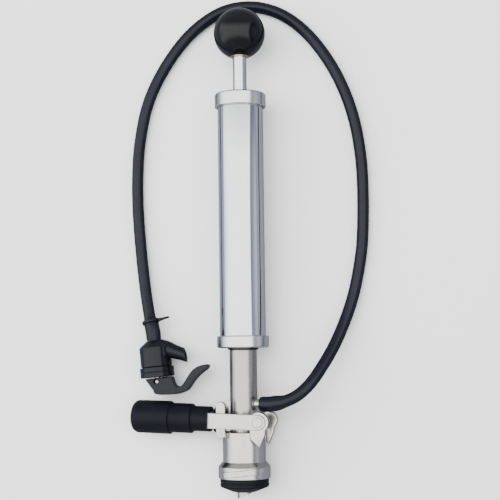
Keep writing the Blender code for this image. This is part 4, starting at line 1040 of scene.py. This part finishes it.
    def screws(self, pump):
        seat, top = ARM_OUTER - PIVOT_HEAD_DEPTH, ARM_OUTER + 0.0002
        inner = CAVITY_RADIUS + GAP
        neck = CAVITY_RADIUS + EAR_THICKNESS + GAP
        for name, side in SIDES:
            place = along_y(pump, PIVOT_X, PIVOT_Z, side)
            screw = turned("screw", softened([
                (0, inner), (PIVOT_THREAD_RADIUS, inner), (PIVOT_THREAD_RADIUS, neck),
                (PIVOT_SCREW_RADIUS, neck), (PIVOT_SCREW_RADIUS, seat), (PIVOT_HEAD_RADIUS, seat),
                (PIVOT_HEAD_RADIUS, top), (0, top)], 0.0004), place, None, 64)
            holes = [rod("spanner_hole", SPANNER_HOLE_RADIUS, ARM_OUTER - 0.0009, ARM_OUTER + 0.002,
                         along_y(pump, PIVOT_X, PIVOT_Z + turn * SPANNER_HOLE_SPREAD, side), 24)
                     for turn in (-1, 1)]
            joined(screw, "DIFFERENCE", *holes)
            paint(screw, finish("nickel"))
            stands_for(screw, f"pivot_screw_{name}", "coupler")


# ---- lever ----

class KEGPUMP_OT_lever(bpy.types.Operator):
    """Make the lever's yoke, its grip, bumper and spindle"""
    bl_idname = "keg_pump.lever"
    bl_label = "Lever"

    def execute(self, context):
        sizes = context.scene.keg_pump_sizes
        lever = lever_matrix()
        stands_for(self.yoke(lever, sizes), "lever_yoke", "lever")
        self.grip(lever, sizes)
        return {"FINISHED"}

    def yoke(self, lever, sizes):
        outer_end = -(GRIP_START - GAP)
        inner_end = outer_end + BRIDGE_THICKNESS
        tip = ARM_HEIGHT / 2
        outer = ARM_CORNER_RADIUS
        inner = ARM_CORNER_RADIUS - ARM_THICKNESS
        plan = [(tip + 0.001, -ARM_OUTER), (tip + 0.001, -ARM_INNER)]
        plan += arc((inner_end + inner, -ARM_INNER + inner), inner, -90, -180, 8)
        plan += arc((inner_end + inner, ARM_INNER - inner), inner, 180, 90, 8)
        plan += [(tip + 0.001, ARM_INNER), (tip + 0.001, ARM_OUTER)]
        plan += arc((outer_end + outer, ARM_OUTER - outer), outer, 90, 180, 12)
        plan += arc((outer_end + outer, -ARM_OUTER + outer), outer, 180, 270, 12)
        yoke = prism("lever_yoke_shown", plan, -tip, tip, lever, along="Z")
        profile = arc((0, 0), tip, -90, 90, 32)
        profile += [(outer_end - 0.001, tip), (outer_end - 0.001, -tip)]
        joined(yoke, "INTERSECT", prism("arm_profile", profile, -0.04, 0.04, lever))
        bevelled(yoke, sizes.cast_round, 30)
        start, end = -PIN_ARM / math.cos(LEVER_RISE), -PIN_ARM / math.cos(LEVER_DROP)
        play = DRIVE_PIN_RADIUS + 0.00035
        slot = arc((start, 0), play, -90, 90, 16) + arc((end, 0), play, 90, 270, 16)
        tools = [rod("pivot_bore", PIVOT_SCREW_RADIUS + GAP, -0.04, 0.04, along_y(lever, 0, 0, 1))]
        spindle_frame = lever @ Matrix.Rotation(-math.pi / 2, 4, "Y")
        tools.append(rod("spindle_bore", SPINDLE_RADIUS + GAP, 0.040, 0.060, spindle_frame))
        groove_z = -0.0004
        groove = [(-0.046, groove_z - 0.00022), (-0.0075, groove_z - 0.00022),
                  (-0.0075, groove_z + 0.00022), (-0.046, groove_z + 0.00022)]
        for _, side in SIDES:
            tools.append(rod("counterbore", PIVOT_HEAD_RADIUS + GAP, ARM_OUTER - PIVOT_HEAD_DEPTH - GAP,
                             ARM_OUTER + 0.002, along_y(lever, 0, 0, side)))
            low, high = sorted((side * (ARM_INNER - 0.001), side * (ARM_OUTER - 0.0009)))
            tools.append(prism("pin_slot", slot, low, high, lever))
            low, high = sorted((side * (ARM_OUTER - sizes.groove_depth), side * (ARM_OUTER + 0.001)))
            tools.append(prism("groove", groove, low, high, lever))
        joined(yoke, "DIFFERENCE", *tools)
        paint(yoke, finish("nickel"))
        return yoke

    def grip(self, lever, sizes):
        frame_out = lever @ Matrix.Rotation(-math.pi / 2, 4, "Y")
        hole = SPINDLE_RADIUS + GAP
        length = sum(part for part, _ in GRIP_STEPS)
        end = GRIP_START + length
        spindle_end = end - 0.0120
        outline = [(hole, GRIP_START)]
        level, previous = GRIP_START, None
        for part, radius in GRIP_STEPS:
            if previous is None:
                outline += [(radius, level)]
            else:
                outline += [(previous, level), (radius, level + 0.0004)]
            level += part
            previous = radius
        outline = softened(outline + [(previous, level - GRIP_END_ROUND)], 0.0011, False, 5)
        flat = previous - GRIP_END_ROUND
        outline += arc((flat, end - GRIP_END_ROUND), GRIP_END_ROUND, 4, 88, 14)
        outline += [(0, end), (0, spindle_end + GAP), (hole, spindle_end + GAP)]
        grip = turned("lever_grip_shown", outline, frame_out, finish("grip"), sizes.sides)
        stands_for(grip, "lever_grip", "lever")

        inner_end = -(GRIP_START - GAP) + BRIDGE_THICKNESS
        last = -inner_end - GAP
        head = clear_of_neck(SPINDLE_HEAD_RADIUS)
        head_end = head + SPINDLE_HEAD_THICKNESS
        recess = SPINDLE_HEAD_RADIUS + GAP
        bumper = turned("yoke_bumper_shown", softened([
            (hole, head_end + GAP), (recess, head_end + GAP), (recess, clear_of_neck(recess)),
            (BUMPER_RADIUS, clear_of_neck(BUMPER_RADIUS)), (BUMPER_RADIUS, last), (hole, last)],
            0.0003, True, 5), frame_out, finish("grip"), sizes.sides)
        stands_for(bumper, "yoke_bumper", "lever")
        spindle = turned("grip_spindle_shown", softened([
            (0, head), (SPINDLE_HEAD_RADIUS, head), (SPINDLE_HEAD_RADIUS, head_end),
            (SPINDLE_RADIUS, head_end), (SPINDLE_RADIUS, spindle_end), (0, spindle_end)], 0.0003),
            frame_out, finish("zinc"), 64)
        stands_for(spindle, "grip_spindle", "lever")


# ---- probe and tube ----

class KEGPUMP_OT_tube(bpy.types.Operator):
    """Make the probe, the brushed tube, the drive collar and the hose barb"""
    bl_idname = "keg_pump.tube"
    bl_label = "Probe and tube"

    def execute(self, context):
        sizes = context.scene.keg_pump_sizes
        pump = pump_matrix()
        shoulder = FLOOR_THICKNESS + PROBE_TRAVEL + 2 * GAP
        top = shoulder + 0.0022
        plug = top + 0.0050
        probe = turned("probe", softened([
            (STEM_BORE, -STEM_LENGTH), (STEM_RADIUS, -STEM_LENGTH), (STEM_RADIUS, shoulder),
            (TUBE_RADIUS, shoulder), (TUBE_RADIUS, top), (TUBE_BORE - GAP, top), (TUBE_BORE - GAP, plug),
            (0.0053, plug), (0.0053, plug - 0.0040), (STEM_BORE, plug - 0.0040)], 0.0003, True, 3),
            pump, None, sizes.sides)
        rise = 2 * STEM_RADIUS * math.tan(TIP_SLANT)
        wedge = prism("tip_slant", [
            (-0.02, -STEM_LENGTH - 0.01), (0.02, -STEM_LENGTH - 0.01),
            (0.02, -STEM_LENGTH + rise * (0.02 + STEM_RADIUS) / (2 * STEM_RADIUS)),
            (-STEM_RADIUS, -STEM_LENGTH), (-0.02, -STEM_LENGTH)], -0.02, 0.02, pump)
        joined(probe, "DIFFERENCE", wedge)
        paint(probe, finish("steel"))
        stands_for(probe, "probe_end", "pump")

        tube = turned("tube", softened([
            (TUBE_BORE, top + GAP), (TUBE_RADIUS, top + GAP), (TUBE_RADIUS, LOWER_CAP_BOTTOM + 0.0037),
            (TUBE_BORE, LOWER_CAP_BOTTOM + 0.0037)], 0.0003, True, 2), pump, None, sizes.sides)
        barb_frame = pump @ Matrix.Translation((0, 0, BARB_HEIGHT)) @ Matrix.Rotation(BARB_TURN, 4, "Z") \
            @ Matrix.Rotation(math.pi / 2, 4, "Y")
        joined(tube, "DIFFERENCE", rod("barb_hole", 0.0035, 0.0, 0.03, barb_frame),
               rod("air_port", 0.0022, -0.03, 0.03, along_y(pump, 0, plug + 0.0040, 1)))
        paint(tube, finish("steel"))
        stands_for(tube, "pump_tube", "pump")

        start = TUBE_RADIUS + GAP
        barb = turned("barb", softened([
            (BARB_BORE, 0.0054), (0.0032, 0.0054), (0.0032, start), (BARB_FLANGE_RADIUS, start),
            (BARB_FLANGE_RADIUS, start + 0.0017), (BARB_FLANGE_RADIUS - 0.0006, start + 0.0021),
            (BARB_FLANGE_RADIUS - 0.0006, start + 0.0026), (BARB_FLANGE_RADIUS, start + 0.0030),
            (BARB_FLANGE_RADIUS, start + BARB_FLANGE_LENGTH), (BARB_BORE, start + BARB_FLANGE_LENGTH)],
            0.0004, True), barb_frame, finish("rod"), 64)
        stands_for(barb, "hose_barb", "pump")

        pin_z = PIVOT_Z + PIN_ARM * math.tan(LEVER_RISE)
        collar = turned("collar", softened([
            (TUBE_RADIUS + GAP, pin_z - 0.0040), (0.0153, pin_z - 0.0040), (0.0153, pin_z + 0.0040),
            (TUBE_RADIUS + GAP, pin_z + 0.0040)], 0.0006, True), pump, None, sizes.sides)
        joined(collar, "DIFFERENCE", rod("pin_hole", DRIVE_PIN_RADIUS + GAP, -0.03, 0.03,
                                         along_y(pump, DRIVE_PIN_X, pin_z, 1), 32))
        paint(collar, finish("steel"))
        stands_for(collar, "drive_collar", "pump")
        for name, side in SIDES:
            pin = turned("pin", softened([
                (0, TUBE_RADIUS + GAP), (DRIVE_PIN_RADIUS, TUBE_RADIUS + GAP),
                (DRIVE_PIN_RADIUS, ARM_OUTER - 0.0013), (0, ARM_OUTER - 0.0013)], 0.0004),
                along_y(pump, DRIVE_PIN_X, pin_z, side), finish("zinc"), 48)
            stands_for(pin, f"drive_pin_{name}", "pump")
        return {"FINISHED"}


# ---- barrel and caps ----

class KEGPUMP_OT_barrel(bpy.types.Operator):
    """Make the barrel, its two caps, the rod bush and the sealing ring"""
    bl_idname = "keg_pump.barrel"
    bl_label = "Barrel and caps"

    def execute(self, context):
        sizes = context.scene.keg_pump_sizes
        pump = pump_matrix()
        b = CAP_BEVEL
        bore = BARREL_RADIUS + GAP
        recess = LOWER_CAP_TOP - CAP_RECESS
        lower = turned("cap", softened([
            (TUBE_RADIUS + GAP, LOWER_CAP_BOTTOM), (CAP_RADIUS - b, LOWER_CAP_BOTTOM),
            (CAP_RADIUS, LOWER_CAP_BOTTOM + b), (CAP_RADIUS, LOWER_CAP_TOP - b / 2),
            (CAP_RADIUS - b / 2, LOWER_CAP_TOP), (bore, LOWER_CAP_TOP), (bore, recess), (0.0100, recess),
            (0.0100, LOWER_CAP_BOTTOM + 0.0040), (TUBE_RADIUS + GAP, LOWER_CAP_BOTTOM + 0.0040)],
            sizes.edge_round, True), pump, finish("cap"), sizes.sides)
        stands_for(lower, "lower_cap", "pump")
        ring = turned("ring", softened([
            (TUBE_RADIUS + GAP, LOWER_CAP_BOTTOM - 0.0017), (TUBE_RADIUS + 0.0016, LOWER_CAP_BOTTOM - 0.0017),
            (TUBE_RADIUS + 0.0016, LOWER_CAP_BOTTOM - GAP), (TUBE_RADIUS + GAP, LOWER_CAP_BOTTOM - GAP)],
            0.0004, True), pump, finish("rubber"), sizes.sides)
        stands_for(ring, "tube_ring", "pump")
        low = recess + 0.0016
        high = UPPER_CAP_BOTTOM + CAP_RECESS - 0.0016
        barrel = turned("barrel", softened([
            (BARREL_BORE, low), (BARREL_RADIUS, low), (BARREL_RADIUS, high), (BARREL_BORE, high)],
            0.0003, True, 2), pump, finish("chrome"), 2 * sizes.sides)
        stands_for(barrel, "barrel", "pump")
        bush = ROD_RADIUS + GAP + 0.0031
        upper_recess = UPPER_CAP_BOTTOM + CAP_RECESS
        upper = turned("cap", softened([
            (bush + GAP, UPPER_CAP_TOP), (bush + GAP, upper_recess), (bore, upper_recess),
            (bore, UPPER_CAP_BOTTOM), (CAP_RADIUS - b / 2, UPPER_CAP_BOTTOM),
            (CAP_RADIUS, UPPER_CAP_BOTTOM + b / 2),
            (CAP_RADIUS, UPPER_CAP_TOP - b), (CAP_RADIUS - b, UPPER_CAP_TOP)], sizes.edge_round, True),
            pump, finish("cap"), sizes.sides)
        stands_for(upper, "upper_cap", "pump")
        flange = upper_recess - GAP - 0.0024
        collar = turned("bush", softened([
            (ROD_RADIUS + GAP, flange), (bush + 0.0025, flange), (bush + 0.0025, upper_recess - GAP),
            (bush, upper_recess - GAP), (bush, UPPER_CAP_TOP), (ROD_RADIUS + GAP, UPPER_CAP_TOP)],
            0.0004, True), pump, finish("steel"), sizes.sides)
        stands_for(collar, "rod_bush", "pump")
        return {"FINISHED"}


class KEGPUMP_OT_knob(bpy.types.Operator):
    """Make the ball knob and the piston rod"""
    bl_idname = "keg_pump.knob"
    bl_label = "Knob and rod"

    def execute(self, context):
        sizes = context.scene.keg_pump_sizes
        pump = pump_matrix()
        bottom = UPPER_CAP_TOP + ROD_SHOWN
        centre = bottom + KNOB_RADIUS
        rod_top = bottom + 0.0150
        rod_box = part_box("piston_rod")
        # the rod's lower end is the level of its CAD solid's near end on the pump's axis
        inverse = pump.inverted()
        low = min((inverse @ Vector((x, y, z))).z for x in (rod_box[0].x, rod_box[1].x)
                  for y in (rod_box[0].y, rod_box[1].y) for z in (rod_box[0].z, rod_box[1].z))
        low += 0.0008
        shoulder = low + 0.0149
        shaft = turned("rod", softened([
            (0, low), (0.0040, low), (0.0040, shoulder), (ROD_RADIUS, shoulder), (ROD_RADIUS, rod_top),
            (0, rod_top)], 0.0005), pump, finish("rod"), sizes.sides)
        stands_for(shaft, "piston_rod", "piston")
        insert_top = bottom + 0.0130
        mouth = ROD_RADIUS + GAP + 0.0023 + GAP
        start = math.degrees(math.asin(mouth / KNOB_RADIUS)) - 90
        ball = arc((0, centre), KNOB_RADIUS, start, 90, 48)
        ball[-1] = (0, centre + KNOB_RADIUS)
        knob = turned("knob", softened([(mouth, bottom + 0.0022)] + ball, 0.0004) + [
            (0, rod_top + GAP), (ROD_RADIUS + GAP, rod_top + GAP), (ROD_RADIUS + GAP, insert_top + GAP),
            (mouth, insert_top + GAP)], pump, finish("knob"), sizes.sides)
        stands_for(knob, "pump_knob", "piston")
        return {"FINISHED"}


# ---- faucet ----

class KEGPUMP_OT_faucet(bpy.types.Operator):
    """Make the faucet's body, bonnet, plunger and pin"""
    bl_idname = "keg_pump.faucet"
    bl_label = "Faucet"

    def execute(self, context):
        sizes = context.scene.keg_pump_sizes
        faucet = faucet_matrix()
        stands_for(self.body(faucet, sizes), "faucet_body", "pump")
        stands_for(self.bonnet(faucet, sizes), "faucet_bonnet", "pump")
        seal = SEAT_DEPTH + GAP + 0.0024
        top, bottom = seal + GAP, seal + GAP + 0.0018
        plunger = turned("plunger", softened([
            (0, -top), (0.0055, -top), (0.0055, -bottom), (PLUNGER_RADIUS, -bottom),
            (PLUNGER_RADIUS, -PLUNGER_END), (0, -PLUNGER_END)], 0.0003), faucet, None, 64)
        joined(plunger, "DIFFERENCE", rod("pin_hole", PLUNGER_PIN_RADIUS + 0.0002, -0.01, 0.01,
                                          along_y(faucet, 0, -PLUNGER_PIN_DEPTH, 1), 32))
        paint(plunger, finish("steel"))
        stands_for(plunger, "plunger", "plunger")
        half = TRIGGER_WIDTH / 2 - 0.0004
        pin = turned("pin", softened([
            (0, -half), (PLUNGER_PIN_RADIUS, -half), (PLUNGER_PIN_RADIUS, half), (0, half)], 0.0003),
            along_y(faucet, 0, -PLUNGER_PIN_DEPTH, 1), finish("steel"), 48)
        stands_for(pin, "plunger_pin", "plunger")
        return {"FINISHED"}

    def spout(self, faucet, steps, sides=64):
        place = faucet @ Matrix.Translation((SPOUT_REACH, 0, -SPOUT_DEPTH)) \
            @ Matrix.Rotation(math.pi / 2 + SPOUT_SLOPE - math.pi, 4, "Y")
        outline = [(radius, distance) for distance, radius in steps]
        outline = [(0, steps[0][0])] + outline + [(0, steps[-1][0])]
        return turned("spout", softened(outline, 0.0004), place, None, sides)

    def body(self, faucet, sizes):
        length = FAUCET_BODY_LENGTH
        body = turned("body", softened([
            (0, 0), (INLET_RADIUS, 0), (FAUCET_BODY_RADIUS - 0.0015, -FAUCET_SHOULDER + 0.0008),
            (FAUCET_BODY_RADIUS, -FAUCET_SHOULDER - 0.0008), (FAUCET_BODY_RADIUS, -length),
            (SPIGOT_RADIUS, -length), (SPIGOT_RADIUS, -length - SPIGOT_LENGTH),
            (0, -length - SPIGOT_LENGTH)], 0.0009, False, 5), faucet, None, sizes.sides)
        spout = self.spout(faucet, SPOUT_STEPS)
        across = Vector((-math.sin(SPOUT_CUT), math.cos(SPOUT_CUT)))
        outward = Vector((math.cos(SPOUT_CUT), math.sin(SPOUT_CUT)))
        mouth = Vector((SPOUT_REACH, -SPOUT_DEPTH))
        corners = [mouth + a * across + b * outward
                   for a, b in ((0.012, 0), (-0.012, 0), (-0.012, 0.012), (0.012, 0.012))]
        joined(spout, "DIFFERENCE", prism("mouth_cut", [tuple(c) for c in corners], -0.012, 0.012, faucet))
        bevelled(spout, 0.0004, 50)
        joined(body, "UNION", spout)
        chamber = turned("chamber", [
            (0, 0.01), (INLET_BORE, 0.01), (INLET_BORE, -SEAT_DEPTH), (CHAMBER_RADIUS, -SEAT_DEPTH),
            (CHAMBER_RADIUS, -0.04), (0, -0.04)], faucet, None, 64)
        spout_bore = self.spout(faucet, ((-0.0100, SPOUT_BORE), (0.0220, SPOUT_BORE)), 48)
        joined(body, "DIFFERENCE", chamber, spout_bore)
        paint(body, finish("faucet"))
        return body

    def bonnet(self, faucet, sizes):
        top = FAUCET_BODY_LENGTH + GAP
        bottom = top + BONNET_LENGTH
        floor = bottom - BONNET_FLOOR
        middle = (top + bottom) / 2
        bonnet = turned("bonnet", softened([
            (SPIGOT_RADIUS + GAP, -top), (BONNET_RADIUS, -top), (BONNET_RADIUS, -middle + 0.0005),
            (BONNET_RADIUS - 0.0004, -middle + 0.0003), (BONNET_RADIUS - 0.0004, -middle - 0.0003),
            (BONNET_RADIUS, -middle - 0.0005), (BONNET_RADIUS, -bottom), (PLUNGER_RADIUS + GAP, -bottom),
            (PLUNGER_RADIUS + GAP, -floor), (SPIGOT_RADIUS + GAP, -floor)], 0.0006, True),
            faucet, finish("faucet"), sizes.sides)
        return bonnet


class KEGPUMP_OT_trigger(bpy.types.Operator):
    """Make the faucet's squeeze lever"""
    bl_idname = "keg_pump.trigger"
    bl_label = "Squeeze lever"

    def execute(self, context):
        place = faucet_matrix() @ Matrix.Translation((FULCRUM[0], 0, FULCRUM[1]))

        def moved(points):
            return [(x - FULCRUM[0], z - FULCRUM[1]) for x, z in points]

        outline = flowing(moved(TRIGGER_OUTER[1:] + TRIGGER_INNER[:-1]))
        outline = moved(TRIGGER_OUTER[:1]) + outline + moved(TRIGGER_INNER[-1:])
        half = TRIGGER_WIDTH / 2
        lever = bevelled(prism("trigger", outline, -half, half, place), 0.0009, 40, 4)
        turn = TRIGGER_SWING
        side = PLUNGER_RADIUS + 0.0008
        drop = PLUNGER_END + PLUNGER_TRAVEL + FULCRUM[1]
        drift = FULCRUM[0] * (1 - math.cos(turn)) + drop * math.sin(turn)
        slot = prism("plunger_slot", moved([
            (-side - drift, -PLUNGER_END - 0.0010), (side, -PLUNGER_END - 0.0010),
            (side + 0.0006, -0.0300), (-side, -0.0300)]), -TRIGGER_SLOT / 2, TRIGGER_SLOT / 2, place)
        depth = PLUNGER_PIN_DEPTH + FULCRUM[1]
        shift = -FULCRUM[0] * math.cos(turn) - (depth + PLUNGER_TRAVEL) * math.sin(turn)
        level = FULCRUM[0] * math.sin(turn) - (depth + PLUNGER_TRAVEL) * math.cos(turn)
        play = PLUNGER_PIN_RADIUS + 0.0004
        pin_slot = prism("pin_slot", arc((-FULCRUM[0], -depth), play, -90, 90, 16)
                         + arc((shift, level), play, 90, 270, 16), -half - 0.001, half + 0.001, place)
        joined(lever, "DIFFERENCE", slot, pin_slot)
        paint(lever, finish("faucet"))
        stands_for(lever, "faucet_trigger", "trigger")
        return {"FINISHED"}


# ---- inner pieces ----

class KEGPUMP_OT_inner(bpy.types.Operator):
    """Give the pump's inner pieces their finishes"""
    bl_idname = "keg_pump.inner"
    bl_label = "Inner pieces"

    def execute(self, context):
        inner = {
            "zinc": ("piston_nut", "piston_plate_lower", "piston_plate_upper", "plunger_spring",
                     "probe_ball"),
            "steel": ("beer_tube",),
            "brass": ("knob_insert",),
            "rubber": ("probe_ring", "barrel_gasket_lower", "barrel_gasket_upper", "rod_bumper", "valve_disc",
                       "plunger_seal"),
            "nylon": ("valve_plate",),
            "leather": ("piston_cup",),
        }
        for name, nodes in inner.items():
            for node in nodes:
                for place in frame["nodes"][node].material_slots:
                    place.material = finish(name)
        return {"FINISHED"}


class KEGPUMP_OT_declare_hose(bpy.types.Operator):
    """Work out the hose's route and length; nothing is done with them"""
    bl_idname = "keg_pump.declare_hose"
    bl_label = "Hose facts"

    def execute(self, context):
        points, length = hose_route()
        return {"FINISHED"}


class KEGPUMP_PT_panel(bpy.types.Panel):
    """Sizes, colours and pieces of the keg pump"""
    bl_label = "Keg pump"
    bl_idname = "KEGPUMP_PT_panel"
    bl_space_type = "VIEW_3D"
    bl_region_type = "UI"
    bl_category = "Keg pump"

    def draw(self, context):
        scene = context.scene
        for group in (scene.keg_pump_sizes, scene.keg_pump_colours, scene.keg_pump_stage):
            column = self.layout.column(align=True)
            for name in group.bl_rna.properties.keys():
                if name not in {"rna_type", "name"}:
                    column.prop(group, name)
        for operator in OPERATORS:
            self.layout.operator(operator.bl_idname)


OPERATORS = (KEGPUMP_OT_stage, KEGPUMP_OT_hose, KEGPUMP_OT_coupler, KEGPUMP_OT_lever, KEGPUMP_OT_tube,
             KEGPUMP_OT_barrel, KEGPUMP_OT_knob, KEGPUMP_OT_faucet, KEGPUMP_OT_trigger, KEGPUMP_OT_inner,
             KEGPUMP_OT_declare_hose)
CLASSES = (KegPumpSizes, KegPumpColours, KegPumpStage) + OPERATORS + (KEGPUMP_PT_panel,)


def register():
    for cls in CLASSES:
        bpy.utils.register_class(cls)
    bpy.types.Scene.keg_pump_sizes = PointerProperty(type=KegPumpSizes)
    bpy.types.Scene.keg_pump_colours = PointerProperty(type=KegPumpColours)
    bpy.types.Scene.keg_pump_stage = PointerProperty(type=KegPumpStage)


def unregister():
    del bpy.types.Scene.keg_pump_stage
    del bpy.types.Scene.keg_pump_colours
    del bpy.types.Scene.keg_pump_sizes
    for cls in reversed(CLASSES):
        bpy.utils.unregister_class(cls)


def main():
    register()
    for operator in OPERATORS:
        group, name = operator.bl_idname.split(".")
        getattr(getattr(bpy.ops, group), name)()


if __name__ == "__main__":
    main()
